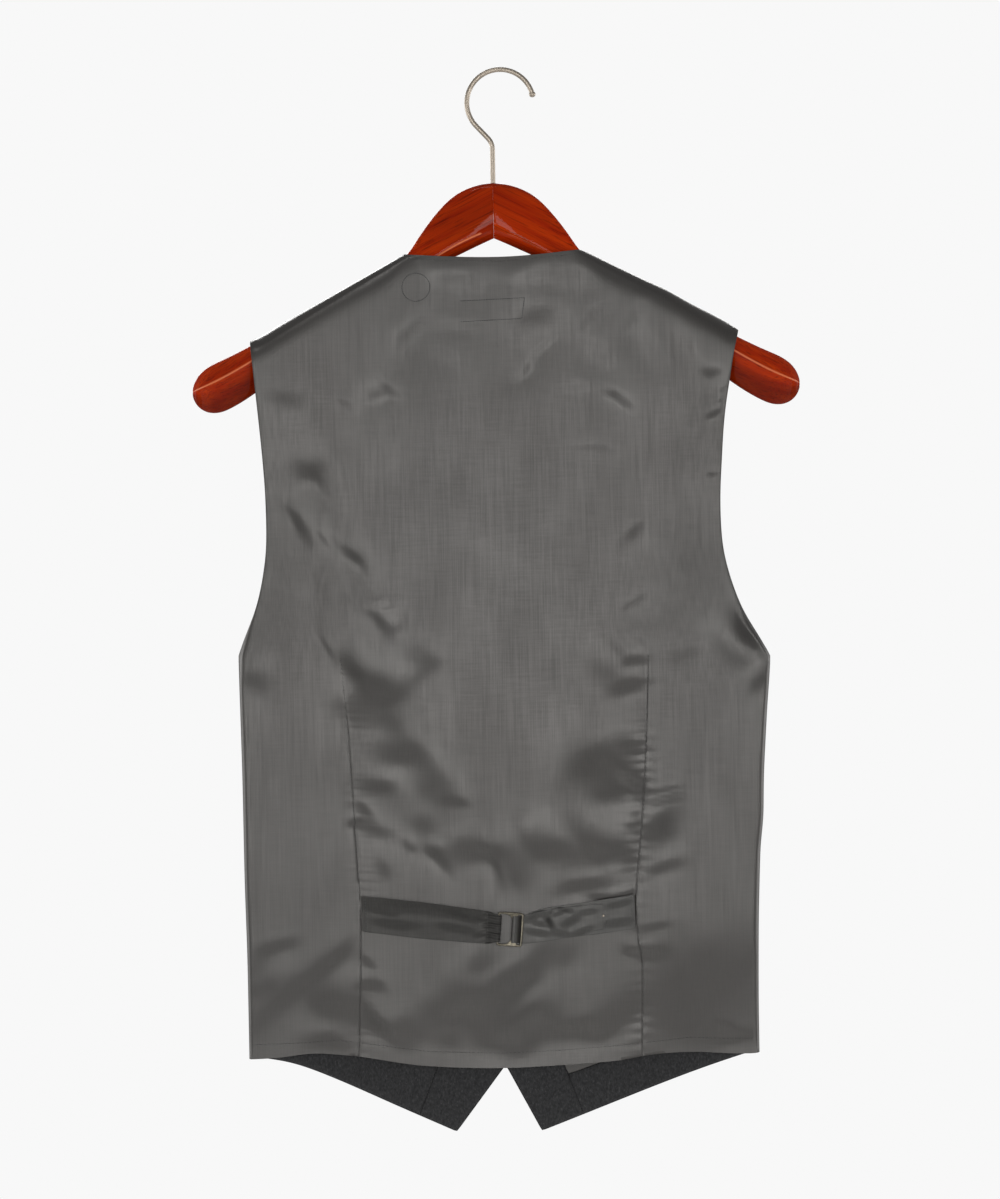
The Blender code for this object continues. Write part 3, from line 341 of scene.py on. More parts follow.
def satinNickel():
    # nickel-plated steel wire, drawn then tumbled: a soft grey gleam with faint scuffs
    return metal("satin nickel plate", ("#C6BAAB", "#B9AE9F"), (500, 500, 120), 0.35, 0.7, (0.4, 0.44), 0.01)[0]


def antiqueBrass():
    # cast brass darkened in acid and relieved: grey-brown hollows and worn bright corners
    material, tree, shader, colour = metal("antique brass", ("#58544B", "#7C7667"), (700, 700, 700), 0.35, 0.65,
                                           (0.24, 0.4), 0.2)
    worn = addNode(tree, "NewGeometry").outputs["Pointiness"]
    setInputs(tree, shader, {"Base Color": tinted(tree, colour, "#BDB6A6", worn, 0.5, 0.62, 0.7)})
    return material


def dyedHorn():
    # polyester resin cast to look like dark horn: slow smoky streaks under a soft polish
    material, tree, shader, space = newMaterial("horn resin")
    smoke = stretchedNoise(tree, space, (260, 260, 70), 4.0, (0, 0.6, 0))
    colour = tinted(tree, "#19191A", "#474341", smoke, 0.38, 0.68)
    setInputs(tree, shader, {"Base Color": colour, "Roughness": 0.3, "Coat Weight": 0.3, "Coat Roughness": 0.2})
    return material


def sewingThread(name, dark, light):
    # spun polyester thread, two plies with a dull twist
    material, tree, shader, space = newMaterial(name)
    ply = stretchedNoise(tree, space, (2500, 2500, 2500), 1.0)
    setInputs(tree, shader, {"Base Color": tinted(tree, dark, light, ply, 0.0, 1.0), "Roughness": 0.7,
                             "Sheen Weight": 0.3})
    return material


satin = satinWeave("acetate satin", satinLook)
strapLook = {**satinLook, "dark": "#191817", "light": "#242321", "roughness": 0.45, "gleam": "#C6C4C0"}
# the straps are darker and duller than the back; the right strap is the same satin with a brighter gleam, a painted
# sheen
strapSatin = {"left": satinWeave("acetate satin strap left", strapLook),
              "right": satinWeave("acetate satin strap right with painted sheen", {**strapLook, "gleam": "#F0EEEA"})}
wool = worstedWool(woolLook)
cherry = lacqueredCherry(cherryLook)
nickel = satinNickel()
brass = antiqueBrass()
horn = dyedHorn()
satinThread = sewingThread("grey sewing thread", "#2A2928", "#3D3B38")
woolThread = sewingThread("charcoal sewing thread", "#1B1B1C", "#2C2C2D")
setStudio()

print("cloth panels")


def readNode(name):
    # copies a node's mesh, joins its loose triangles and pairs them into quads
    shape = bmesh.new()
    shape.from_mesh(cadNodes[name].data)
    bmesh.ops.remove_doubles(shape, verts=shape.verts, dist=1e-6)
    bmesh.ops.join_triangles(shape, faces=shape.faces, angle_face_threshold=math.radians(50),
                             angle_shape_threshold=math.radians(60))
    return shape


def sharpenRim(shape, sharpness, angle=50):
    # creases the edges that turn by more than the angle, so that subdivision keeps them
    crease = shape.edges.layers.float.get("crease_edge") or shape.edges.layers.float.new("crease_edge")
    for edge in shape.edges:
        if len(edge.link_faces) == 2 and edge.calc_face_angle() > math.radians(angle):
            edge[crease] = sharpness
    return crease


def meshPiece(name, shape, material):
    mesh = bpy.data.meshes.new(name)
    shape.to_mesh(mesh)
    shape.free()
    mesh.shade_smooth()
    item = bpy.data.objects.new(name, mesh)
    bpy.context.scene.collection.objects.link(item)
    mesh.materials.append(material)
    return item


def subdivided(item, levels):
    finer = item.modifiers.new("Finer", "SUBSURF")
    finer.levels = finer.render_levels = levels
    applyAll(item)


def readVertices(item, field):
    values = np.empty(len(item.data.vertices) * 3)
    item.data.vertices.foreach_get(field, values)
    return values.reshape(-1, 3)


def readPoints(item):
    return readVertices(item, "co") / mm


def writePoints(item, points):
    item.data.vertices.foreach_set("co", (points * mm).ravel())
    item.data.update()


def writeAttribute(item, name, values):
    kind, field = ("FLOAT_VECTOR", "vector") if values.ndim == 2 else ("FLOAT", "value")
    layer = item.data.attributes.new(name, kind, "POINT")
    layer.data.foreach_set(field, values.ravel())


def seated(item, node):
    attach(item, "root")
    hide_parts(node)
    return item


def sharpenCorners(shape, points, reach, sharpness):
    layer = shape.verts.layers.float.get("crease_vert") or shape.verts.layers.float.new("crease_vert")
    for x, z in points:
        for vert in shape.verts:
            if math.hypot(vert.co.x / mm - x, vert.co.z / mm - z) < reach:
                vert[layer] = sharpness


def alongTable(table, value):
    rows = sorted(table)
    return np.interp(value, [row[0] for row in rows], [row[1] for row in rows])


def roundedByAngle(item, angle):
    pick(item)
    bpy.ops.object.shade_smooth_by_angle(angle=math.radians(angle))


backShape = {
    "levels": 2,
    "rimSharpness": 1.0,
    "cornerReach": 4.0,
    "cornerSharpness": 0.9,
    "edgeFade": 5.0,                # how far in from the sides and down from the top the folds begin
    "topFade": 14.0,
    "dartHeights": (-720.0, -419.0),
    "dartReach": 1.3,
    "dartSharpness": 0.5,
    "dartStep": 1.3,                # height of the step beside a dart, and how soon it dies away across
    "dartStepWidth": 13.0,
    "dartStepFrom": (-418.0, -448.0),
    "keptBetween": (-440.0, -500.0),
    "leftDartKept": (0.9, 0.3),     # how much of the step at a dart shows, at its top and further down
    "rightDartKept": (0.3, 0.25),
    "middle": -6.0,
    "neckHalf": 55.0,
    "shoulderFrom": 80.0,
    "neckLean": 0.07,               # how far the cloth leans back over the hanger below its top edge
    "shoulderLean": 0.5,
    "shoulderBand": 11.0,
    "armholeFoot": -424.0,
    "sideRoll": 7.5,                # width of the roll at the side edges, how tightly it turns, and its depth
    "sideTightness": 1.75,
    "sideDrop": 0.7,
    "seamReach": 1.3,
    "seamClosed": 0.42,
}

# Outline of the back: the height and place across of its left and right edges, then its top line.
backLeft = [(-193.4, -185.1), (-251, -179.5), (-280, -177), (-310, -175.3), (-339, -175), (-368, -178.4),
            (-382, -181.5), (-397, -186.2), (-411, -192.6), (-423, -197.8), (-514, -196.2), (-586, -195.8),
            (-645, -194.6), (-718, -194.3)]
backRight = [(-190.6, 170.9), (-256, 159.3), (-286, 157.2), (-315, 155.6), (-344, 156.3), (-359, 159),
             (-373, 162.4), (-388, 168), (-403, 174.6), (-417, 184.9), (-429, 191.6), (-461, 188.9), (-520, 185),
             (-549, 184.6), (-563, 182.2), (-622, 179.8), (-680, 178.9), (-718, 178.9)]
backTop = [(-185.1, -193.4), (-132.2, -164.3), (-79.2, -135.9), (-72.5, -132.2), (-45, -134.3), (-1.8, -135.7),
           (42, -132.4), (54, -130.9), (60, -131.5), (72.5, -137.9), (105.1, -153.6), (131.9, -168), (170.9, -190.6)]
backCorners = [(-185.1, -193.4), (170.9, -190.6), (-197.8, -423), (191.6, -429), (-194.3, -717.8), (178.9, -717.8),
               (-72.5, -132.2), (54, -130.9)]

# Folds of the satin. Each row is the line that a fold's steep side runs along (x, z, x, z), its
# half width, and how strongly it leans, from 0 to 1.
backFolds = [
    # the cloth stands away from the strap's right end
    (60, -602.5, 84, -598.5, 2.6, 0.93), (86, -600, 90, -596, 2.4, 0.6),
    # yoke and shoulders
    (-172, -233, -148, -236, 7, 0.35), (-123, -241, -112, -244, 4, 0.3),
    (-102, -234, -90, -230, 5, 0.4), (-90, -223, -80, -236, 4, 0.45), (-62, -176, -70, -192, 8, 0.5),
    (-70, -190, -80, -210, 6, 0.3), (-50, -152, -24, -150, 8, 0.3), (-18, -142, -20, -152, 5, 0.35),
    (-40, -186, -8, -185, 4, 0.2), (-46, -203, -38, -212, 5, 0.3), (12, -152, 34, -142, 6, 0.35),
    (40, -150, 56, -148, 9, 0.3), (12, -181, 34, -181, 11, 0.4), (56, -188, 70, -172, 6, 0.45),
    (66, -198, 76, -212, 6, 0.4), (87, -192, 100, -172, 6, 0.5), (101, -185, 110, -213, 4, 0.6),
    (130, -190, 146, -216, 4, 0.35), (144, -221, 154, -221, 5, 0.45), (12, -220, 20, -214, 3.5, 0.45),
    (18, -214, 38, -194, 2.5, 0.35), (68, -232, 82, -234, 3, 0.35), (80, -234, 93, -248, 4, 0.6),
    (48, -276, 82, -276, 4, 0.25), (156, -235, 162, -234, 1.5, 0.5), (154, -242, 160, -240, 1.5, 0.5),
    (150, -251, 158, -247, 2, 0.8), (146, -295, 155, -292, 1.5, 0.4), (46, -232, 54, -232, 5, 0.2),
    # left armhole drags
    (-152, -286, -136, -287, 8, 0.6), (-140, -288, -131, -310, 6, 0.55),
    (-124, -312, -126, -338, 8, 0.3), (-161, -314, -150, -330, 4, 0.5),
    (-152, -326, -142, -346, 6, 0.4), (-141, -345, -135, -420, 6, 0.3),
    (-133, -405, -129, -430, 2.5, 0.5), (-136, -333, -127, -348, 1.5, 0.5),
    (-119, -342, -110, -354, 6, 0.5), (-112, -348, -101, -369, 4, 0.5),
    (-117, -372, -109, -383, 3, 0.5), (-102, -391, -90, -400, 4, 0.55), (-94, -398, -82, -412, 5, 0.4),
    (-84, -402, -74, -397, 5, 0.3), (-98, -387, -88, -385, 1.8, 0.4), (-90, -392, -80, -390, 1.5, 0.3),
    # below the left dart's top
    (-121, -426, -108, -442, 7, 0.75), (-106, -452, -84, -452, 10, 0.65),
    (-119, -460, -104, -474, 10, 0.55), (-70, -418, -57, -431, 7, 0.4), (-76, -444, -60, -434, 6, 0.25),
    (-92, -470, -80, -476, 8, 0.25),
    # the arc of folds above the strap
    (-100, -496, -74, -492, 9, 0.6), (-76, -497, -54, -518, 8, 0.5), (-60, -520, -44, -534, 8, 0.4),
    (-46, -533, -34, -533, 3, 0.35), (-106, -519, -90, -520, 6, 0.3), (-115, -534, -102, -542, 3, 0.6),
    (-108, -548, -90, -554, 5, 0.4), (-114, -548, -108, -548, 3, 0.35), (-62, -563, -54, -570, 4, 0.5),
    (-56, -568, -47, -580, 3.5, 0.7), (-80, -561, -72, -563, 3, 0.35), (-66, -545, -60, -550, 5, 0.25),
    (-40, -570, -14, -566, 7, 0.6), (-18, -566, -8, -594, 4, 0.75), (-4, -572, 8, -592, 8, 0.5),
    (-98, -578, -92, -582, 5, 0.25), (10, -564, 38, -572, 9, 0.45), (9, -540, 9, -560, 4, 0.3),
    (-20, -515, -18, -560, 6, 0.15),
    # left panel
    (-194, -658, -180, -640, 7, 0.3), (-184, -640, -158, -630, 4, 0.45),
    (-138, -652, -122, -637, 6, 0.45), (-192, -700, -158, -662, 9, 0.45),
    (-156, -664, -138, -642, 8, 0.35), (-192, -672, -178, -662, 6, 0.25),
    (-140, -672, -114, -684, 11, 0.5), (-108, -686, -88, -701, 5, 0.95),
    (-110, -665, -98, -667, 4, 0.45), (-112, -646, -104, -650, 3, 0.4), (-84, -702, -72, -694, 9, 0.35),
    (-152, -704, -124, -708, 6, 0.3), (-196, -441, -180, -443, 9, 0.35),
    # above the hem
    (-52, -686, -28, -682, 13, 0.6), (-24, -690, -8, -664, 13, 0.55), (-4, -700, 14, -690, 13, 0.45),
    (-24, -706, 4, -706, 8, 0.45), (-6, -666, 8, -658, 8, 0.45), (6, -660, 30, -636, 7, 0.35),
    (34, -652, 42, -636, 6, 0.3), (-32, -652, -18, -642, 6, 0.35), (14, -692, 30, -690, 8, 0.4),
    (34, -703, 66, -695, 6, 0.7), (62, -696, 92, -680, 8, 0.35), (-56, -706, -44, -706, 5, 0.25),
    # right half and right panel
    (82, -433, 98, -431, 4, 0.6), (78, -450, 99, -447, 4.5, 0.7), (58, -430, 76, -446, 7, 0.35),
    (80, -418, 84, -430, 4, 0.3), (82, -489, 98, -494, 4.5, 0.45), (52, -506, 78, -504, 14, 0.55),
    (50, -518, 58, -500, 12, 0.4), (78, -512, 90, -518, 7, 0.6), (86, -518, 95, -528, 5, 0.8),
    (64, -528, 80, -528, 9, 0.45), (46, -530, 50, -556, 10, 0.4), (52, -552, 62, -572, 9, 0.4),
    (60, -566, 78, -566, 9, 0.35), (78, -570, 86, -578, 5, 0.35), (34, -598, 56, -594, 5, 0.45),
    (52, -594, 72, -588, 5, 0.4), (90, -542, 96, -545, 2.5, 0.4), (88, -551, 96, -552, 2.5, 0.35),
    (100, -526, 126, -525, 1.6, 0.4), (103, -532, 127, -530, 1.6, 0.35),
    (103, -537, 127, -534, 1.6, 0.35), (101, -562, 112, -552, 7, 0.5), (108, -554, 122, -543, 6, 0.45),
    (96, -588, 121, -579, 4, 0.5), (80, -640, 92, -643, 3.5, 0.8), (93, -645, 108, -645, 4, 0.55),
    (92, -625, 112, -626, 2.5, 0.45), (145, -704, 168, -707, 5, 0.55), (120, -665, 168, -660, 28, 0.3),
    (166, -394, 180, -424, 10, 0.97), (172, -404, 186, -428, 8, 0.9), (188, -440, 178, -452, 7, 0.6),
    (118, -431, 140, -424, 8, 0.25), (110, -700, 140, -690, 18, 0.2), (174, -640, 176, -668, 3, 0.4),
    (150, -698, 158, -698, 3, 0.3), (84, -352, 94, -342, 7, 0.25), (92, -340, 101, -334, 5, 0.35),
    (86, -393, 100, -384, 4, 0.35), (94, -414, 99, -424, 4, 0.5), (74, -414, 80, -426, 5, 0.25),
    (84, -578, 80, -586, 5, 0.2),
]

# Dart seams of the back: height and how far across. Then the gathers that they pull into the cloth: the
# seam, its side, how far they reach, their height and their spacing.
leftDart = [(-421, -123.0), (-470, -118.6), (-515, -115.8), (-602, -111.0), (-646, -111.4), (-718, -113.8)]
rightDart = [(-421, 101.7), (-518, 97.9), (-578, 92.5), (-602, 90.1), (-627, 90.4), (-649, 94.0), (-718, 92.8)]
dartPuckers = [(rightDart, -1, 9.0, 0.35, 7.3), (rightDart, 1, 7.0, 0.22, 8.1), (leftDart, 1, 11.0, 0.22, 5.6),
               (leftDart, -1, 6.0, 0.12, 7.0)]

foldShape = {
    "height": 0.6,          # how far the folds stand out, and how much their steep sides lean
    "lean": 0.84,
    "sideways": 1.4,        # the same for upright folds, against level ones
    "bend": 1.0,            # how much their lines waver
    "steepest": 0.18,
    "riseShare": 0.886,
    "softness": 2.4,
    # in half widths: how far a fold runs on past its ends, how wide its steep side shows, and where and
    # how widely the cloth is pulled flat beside it
    "pastEnds": 0.8,
    "leanWidth": 1.25,
    "tautPlace": 2.1,
    "tautWidth": 0.9,
}


def foldField(x, z, folds, look):
    # rise of the folds above the cloth over the points x, z, the extra lean of the cloth on their steep
    # sides, which is what the sheen shows first, and where it is pulled flat beside them
    bend = look["bend"]
    bentX = x + bend * (1.8 * np.sin(z / 11.0 + 0.7) + 1.1 * np.sin((x + z) / 6.3) + np.sin((x - 2 * z) / 17.0))
    bentZ = z + bend * (1.6 * np.sin(x / 12.0 + 1.9) + 1.1 * np.sin((x - z) / 7.1 + 0.5)
                        + np.sin((2 * x + z) / 19.0))
    rise, leanX, leanZ = np.zeros_like(x), np.zeros_like(x), np.zeros_like(x)
    taut = np.zeros_like(x)
    for x0, z0, x1, z1, width, strength in folds:
        if x1 < x0:
            x0, z0, x1, z1 = x1, z1, x0, z0
        length = math.hypot(x1 - x0, z1 - z0)
        alongX, alongZ = (x1 - x0) / length, (z1 - z0) / length
        run = (bentX - (x0 + x1) / 2) * alongX + (bentZ - (z0 + z1) / 2) * alongZ
        off = (bentZ - z0) * alongX - (bentX - x0) * alongZ
        slope = look["steepest"] * math.sqrt(-math.log(1 - strength))
        within = np.exp(-np.abs(run / (0.5 * length + look["pastEnds"] * width)) ** look["softness"])
        step = np.tanh(1.2 * off / width) - np.tanh(0.3 * off / width)
        rise += look["height"] * slope * look["riseShare"] * width * step * within
        across = np.exp(-np.abs(off / (look["leanWidth"] * width)) ** look["softness"])
        steep = look["lean"] * slope * within * across
        leanX -= look["sideways"] * alongZ * steep
        leanZ += alongX * steep
        beside = np.exp(-((np.abs(off) - look["tautPlace"] * width) / (look["tautWidth"] * width)) ** 2)
        taut += strength * beside * within
    return rise, leanX, leanZ, np.minimum(taut, 1.0)


def seamPucker(x, z, seam, side, reach, size, pitch):
    # small gathers that a taut seam pulls into the cloth on one side of it
    off = (x - alongTable(seam, z)) * side
    uneven = 0.55 + 0.45 * np.sin(z / 23.0 + 1.3) * np.sin(z / 57.0)
    wave = np.sin(z * 2 * math.pi / pitch + 0.9 * np.sin(z / 9.0) + 0.06 * off)
    inside = (z < backShape["armholeFoot"]) & (z > seam[-1][0] - 4)
    return np.where(inside & (off > 0), size * uneven * wave * np.exp(-(off / reach) ** 1.3), 0.0)


def dartStep(x, z, look):
    # what is taken off the step that the panels make beside each dart
    step, width = look["dartStep"], look["dartStepWidth"]
    amount, down = (np.clip((high - z) / (high - low), 0, 1)
                    for high, low in (look["dartStepFrom"], look["keptBetween"]))
    taken = np.zeros_like(x)
    for beyond, (first, last) in ((alongTable(leftDart, z) - x, look["leftDartKept"]),
                                  (x - alongTable(rightDart, z), look["rightDartKept"])):
        kept = first + (last - first) * down
        taken += np.where(beyond > 0, step * amount * (1 - kept) * np.exp(-np.maximum(beyond, 0) / width), 0)
    return taken


def shoulderLean(x, below, look):
    # the satin rolls over the hanger along both shoulders, and a little at the neck
    neckHalf, shoulderFrom = look["neckHalf"], look["shoulderFrom"]
    shoulder = np.clip((np.abs(x - look["middle"]) - neckHalf) / (shoulderFrom - neckHalf), 0, 1)
    size = look["neckLean"] + (look["shoulderLean"] - look["neckLean"]) * shoulder
    return size * np.exp(-(np.maximum(below, 0) / look["shoulderBand"]) ** 2)


def tightenSides(shape, look):
    # rolls the side edges round more tightly, so that the panel is flat almost to its edge
    reach = look["sideRoll"]
    for vert in shape.verts:
        x, z = vert.co.x / mm, vert.co.z / mm
        if z > look["armholeFoot"]:
            continue
        left, right = alongTable(backLeft, z), alongTable(backRight, z)
        edge, side = (left, 1) if x - left < right - x else (right, -1)
        inside = (x - edge) * side
        if inside < look["seamReach"]:
            vert.co.y += look["seamClosed"] * mm
        if 0 < inside < reach:
            vert.co.x = (edge + side * reach * (inside / reach) ** look["sideTightness"]) * mm
            vert.co.y -= look["sideDrop"] * math.sin(math.pi * inside / reach) * mm


def creaseDarts(shape, crease, look):
    low, high = look["dartHeights"]
    for edge in shape.edges:
        ends = [vert.co / mm for vert in edge.verts]
        for dart in (leftDart, rightDart):
            if all(low < end.z < high and abs(end.x - alongTable(dart, end.z)) < look["dartReach"]
                   for end in ends):
                edge[crease] = max(edge[crease], look["dartSharpness"])


def finerOutside(item):
    # divides the faces that look towards -Y once more, where the folds are
    shape = bmesh.new()
    shape.from_mesh(item.data)
    facing = [face for face in shape.faces if face.normal.y < -0.25]
    edges = list({edge for face in facing for edge in face.edges})
    bmesh.ops.subdivide_edges(shape, edges=edges, cuts=1, use_grid_fill=True, smooth=0.0)
    shape.to_mesh(item.data)
    shape.free()


def makeBack(look):
    shape = readNode("back")
    tightenSides(shape, look)
    creaseDarts(shape, sharpenRim(shape, look["rimSharpness"]), look)
    sharpenCorners(shape, backCorners, look["cornerReach"], look["cornerSharpness"])
    back = meshPiece("satin_back", shape, satin)
    subdivided(back, look["levels"])
    finerOutside(back)

    points, towards = readPoints(back), -readVertices(back, "normal")[:, 1]
    x, z = points[:, 0], points[:, 2]
    inside = np.minimum(x - alongTable(backLeft, z), alongTable(backRight, z) - x)
    below = alongTable(backTop, x) - z
    fade = np.clip(inside / look["edgeFade"], 0, 1) * np.clip(below / look["topFade"], 0, 1)
    outside = fade * (towards > 0)
    rise, leanX, leanZ, taut = foldField(x, z, backFolds, foldShape)
    # the shoulders lean where the cloth looks towards -Y, and not on the edge that turns away
    over = shoulderLean(x, below, look) * np.clip((towards - 0.6) * 3.3, 0, 1)
    writeAttribute(back, "lean", np.stack([-leanX * outside, 0 * x, over - leanZ * outside], 1))
    writeAttribute(back, "taut", taut * outside)
    rise -= dartStep(x, z, look)
    for row in dartPuckers:
        rise += seamPucker(x, z, *row)
    points[:, 1] -= rise * fade
    writePoints(back, points)
    roundedByAngle(back, 40)
    return seated(back, "back")


shellShape = {
    "levels": 2,
    "rimSharpness": 0.75,
    "cornerReach": 2.5,
    "cornerSharpness": 0.95,
}

# Where the closed fronts part above their points.
frontCorners = [(10, -705), (-24, -695)]

# Folds of the wool fronts, which hang in soft drapes from the chest and pull a little at the buttons.
frontFolds = {
    "left": [(-150, -300, -120, -380, 14, 0.5), (-160, -430, -100, -450, 10, 0.4), (-120, -520, -60, -540, 12, 0.35),
             (-60, -360, -30, -400, 12, 0.35), (-165, -600, -150, -690, 16, 0.5), (-40, -470, -12, -455, 5, 0.4),
             (-40, -545, -12, -533, 5, 0.4), (-45, -620, -12, -611, 5, 0.4)],
    "right": [(140, -300, 110, -380, 14, 0.45), (150, -440, 90, -455, 10, 0.4), (110, -530, 60, -545, 12, 0.35),
              (155, -600, 140, -680, 16, 0.5), (30, -470, 14, -458, 5, 0.35), (34, -545, 14, -535, 5, 0.35)],
}


def makeShell(fabric, node, material, folds=()):
    # a front, or one of the layers inside it
    shape = readNode(node)
    sharpenRim(shape, shellShape["rimSharpness"])
    sharpenCorners(shape, frontCorners, shellShape["cornerReach"], shellShape["cornerSharpness"])
    item = meshPiece(f"{fabric}_{node}", shape, material)
    subdivided(item, shellShape["levels"])
    if folds:
        points = readPoints(item)
        points[:, 1] += foldField(points[:, 0], points[:, 2], folds, {**foldShape, "height": 1.0})[0]
        writePoints(item, points)
    return seated(item, node)


strapShape = {
    "levels": 4,
    "rimSharpness": 0.55,
    "tautShare": 0.8,
    "folds": {**foldShape, "height": 1.5, "lean": 2.2, "bend": 0.25},
    "gatherFrom": -26.0,        # where the gathers at the buckle begin, and where they are whole
    "gatherWhole": -17.0,
    "gatherPitch": 3.7,
    "gatherHeight": 0.32,
    "gatherLean": 0.75,
}

# Folds of the two strap halves.
strapFolds = {
    "left": [(-104, -604, -58, -606, 4.5, 0.55), (-62, -607, -22, -613, 5.0, 0.62), (-98, -618, -70, -621, 3.0, 0.25),
             (-52, -622, -30, -625, 2.6, 0.35), (-46, -612, -28, -617, 2.0, 0.4), (-100, -609, -86, -612, 2.0, 0.3),
             (-26, -616, -19, -617.5, 1.6, 0.5), (-27, -629, -19, -627.5, 1.6, 0.5)],
    "right": [(24.2, -614.7, 28.4, -623.5, 2.2, 0.85), (28.4, -612, 24.2, -616, 1.4, 0.5),
              (34, -610.5, 42, -613, 1.3, 0.7), (31, -615, 40, -612, 1.3, 0.55),
              (9.6, -617.4, 20, -613, 2.0, 0.7), (12, -626, 23.2, -628.5, 2.0, 0.6),
              (16, -620, 24, -622, 1.6, 0.65), (38, -622.3, 46, -618, 2.2, 0.6), (46, -629, 56, -625, 1.8, 0.5),
              (30, -628, 40, -629, 1.8, 0.45), (50, -614, 60, -612, 1.6, 0.35), (72, -608, 84, -606, 2.0, 0.5),
              (70, -622, 84, -620, 2.4, 0.5)],
}


def loopGathers(x, z):
    # even little gathers where the strap is drawn in to go round the buckle's bar
    first, whole = strapShape["gatherFrom"], strapShape["gatherWhole"]
    amount = np.clip((x - first) / (whole - first), 0, 1) ** 2 * (0.75 + 0.25 * np.sin(z * 0.9 + 1.0))
    phase = z * 2 * math.pi / strapShape["gatherPitch"] + 0.9 * np.sin(x / 2.3) + 0.5 * np.sin(z / 3.1)
    return strapShape["gatherHeight"] * amount * np.sin(phase), strapShape["gatherLean"] * amount * np.cos(phase)


def makeStrap(side):
    # satin tube pressed flat, so its outer face wrinkles more than a single cloth would
    shape = readNode(f"strap_{side}")
    sharpenRim(shape, strapShape["rimSharpness"])
    item = meshPiece(f"cinch_{side}", shape, strapSatin[side])
    subdivided(item, strapShape["levels"])
    points = readPoints(item)
    x, z = points[:, 0], points[:, 2]
    facing = np.clip(-readVertices(item, "normal")[:, 1] * 2.0, 0, 1)
    rise, leanX, leanZ, taut = foldField(x, z, strapFolds[side], strapShape["folds"])
    if side == "left":
        gather, steep = loopGathers(x, z)
        rise, leanZ = rise + gather, leanZ + steep
    writeAttribute(item, "lean", np.stack([-leanX * facing, 0 * rise, -leanZ * facing], 1))
    writeAttribute(item, "taut", taut * facing * strapShape["tautShare"])
    points[:, 1] -= rise * facing
    writePoints(item, points)
    roundedByAngle(item, 50)
    return seated(item, f"strap_{side}")


cloth = {"back": makeBack(backShape)}
for side in ("left", "right"):
    cloth[f"front_{side}"] = makeShell("wool", f"front_{side}", wool, frontFolds[side])
    cloth[f"facing_{side}"] = makeShell("wool", f"facing_{side}", wool)
    cloth[f"lining_{side}"] = makeShell("satin", f"lining_{side}", satin)
    cloth[f"hem_facing_{side}"] = makeShell("wool", f"hem_facing_{side}", wool)
    cloth[f"strap_{side}"] = makeStrap(side)

print("hanger")


armShape = {
    "levels": 2,
    "stemX": -6.1,
    "glueHalf": 0.03,       # half the joint that still shows between the arms
    "flatTo": 0.80,         # how far down the back face runs flat near the hook, before its underside
    "ridgeFrom": 85.0,      # distance out where the back starts to turn into two slopes that meet in a ridge
    "ridgeWhole": 140.0,
    "cornerTo": 120.0,
    "upperSlope": 0.8,      # how far the slopes above and below the ridge fall back
    "lowerSlope": 0.93,
    "upperShare": 0.8,      # how nearly straight the upper slope is
    "paintedSlopeShade": -0.6,      # painted shade on the lower slope, where -1 is the darkest
    "edgeSharpness": 0.85,
    "paintedEdgeHighlight": {-1: 1.0, 1: 0.86},    # painted highlight on the lower edge near the hook, brighter on the left arm
    "crest": -81.0,
    "grainSlope": 27.0,
    "grainApart": (40.0, 300.0),        # keeps the two arms' grain from matching
}


def shapeArmBack(shape, sign, look):
    # cuts the back of each section flat near the hook, and to a ridge towards the end
    tone = shape.verts.layers.float.new("tone")
    sections = {}
    for vert in shape.verts:
        sections.setdefault(round((vert.co.x / mm - look["stemX"]) * sign, 1), []).append(vert)
    ridge, corner = set(), set()
    for out, verts in sections.items():
        if len(verts) < 12:     # a bore's or an end's few points
            continue
        widest = min(verts, key=lambda v: v.co.y)
        foot = min(verts, key=lambda v: v.co.z)
        top = max(verts, key=lambda v: v.co.z)
        middle, back = foot.co.y, widest.co.y
        ridged = min(max((out - look["ridgeFrom"]) / (look["ridgeWhole"] - look["ridgeFrom"]), 0.0), 1.0)
        below = sorted((v for v in verts if v.co.y < middle - 1e-4 and v.co.z < widest.co.z - 1e-5),
                       key=lambda v: -v.co.z)
        if len(below) == 3:
            flatZ = widest.co.z + (foot.co.z - widest.co.z) * look["flatTo"]
            below[1].co.z = flatZ * (1 - ridged) + below[1].co.z * ridged
            corner.add(below[1])
            # tone: painted highlight on the ridge and the lower edge, painted shade on the lower slope and the foot
            widest[tone] = ridged
            below[0][tone] = look["paintedSlopeShade"] * ridged
            below[1][tone] = look["paintedEdgeHighlight"][sign] * (1 - ridged) - ridged
            below[2][tone] = foot[tone] = -1.0
        for vert in below:
            down = (widest.co.z - vert.co.z) / (widest.co.z - foot.co.z)
            flat = 1.0 if down <= look["flatTo"] + 1e-6 else (1.0 - down) / (1.0 - look["flatTo"])
            reach = flat * (1 - ridged) + (1.0 - look["lowerSlope"] * down) * ridged
            vert.co.y = middle + (back - middle) * reach
        for vert in verts:
            if vert.co.z > widest.co.z + 1e-5 and vert.co.y < middle - 1e-4:
                up = (vert.co.z - widest.co.z) / (top.co.z - widest.co.z)
                straight = middle + (back - middle) * (1.0 - look["upperSlope"] * up)
                vert.co.y += (straight - vert.co.y) * look["upperShare"] * ridged
        if ridged > 0:
            ridge.add(widest)
    for vert in shape.verts:
        if abs(vert.co.x / mm - look["stemX"]) < 0.5:
            vert.co.x = (look["stemX"] + look["glueHalf"] * sign) * mm
    crease = sharpenRim(shape, 1.0, 60)
    for edge in shape.edges:
        ends = set(edge.verts)
        out = abs(edge.verts[0].co.x / mm - look["stemX"])
        if ends <= ridge or (ends <= corner and out < look["cornerTo"]):
            edge[crease] = look["edgeSharpness"]


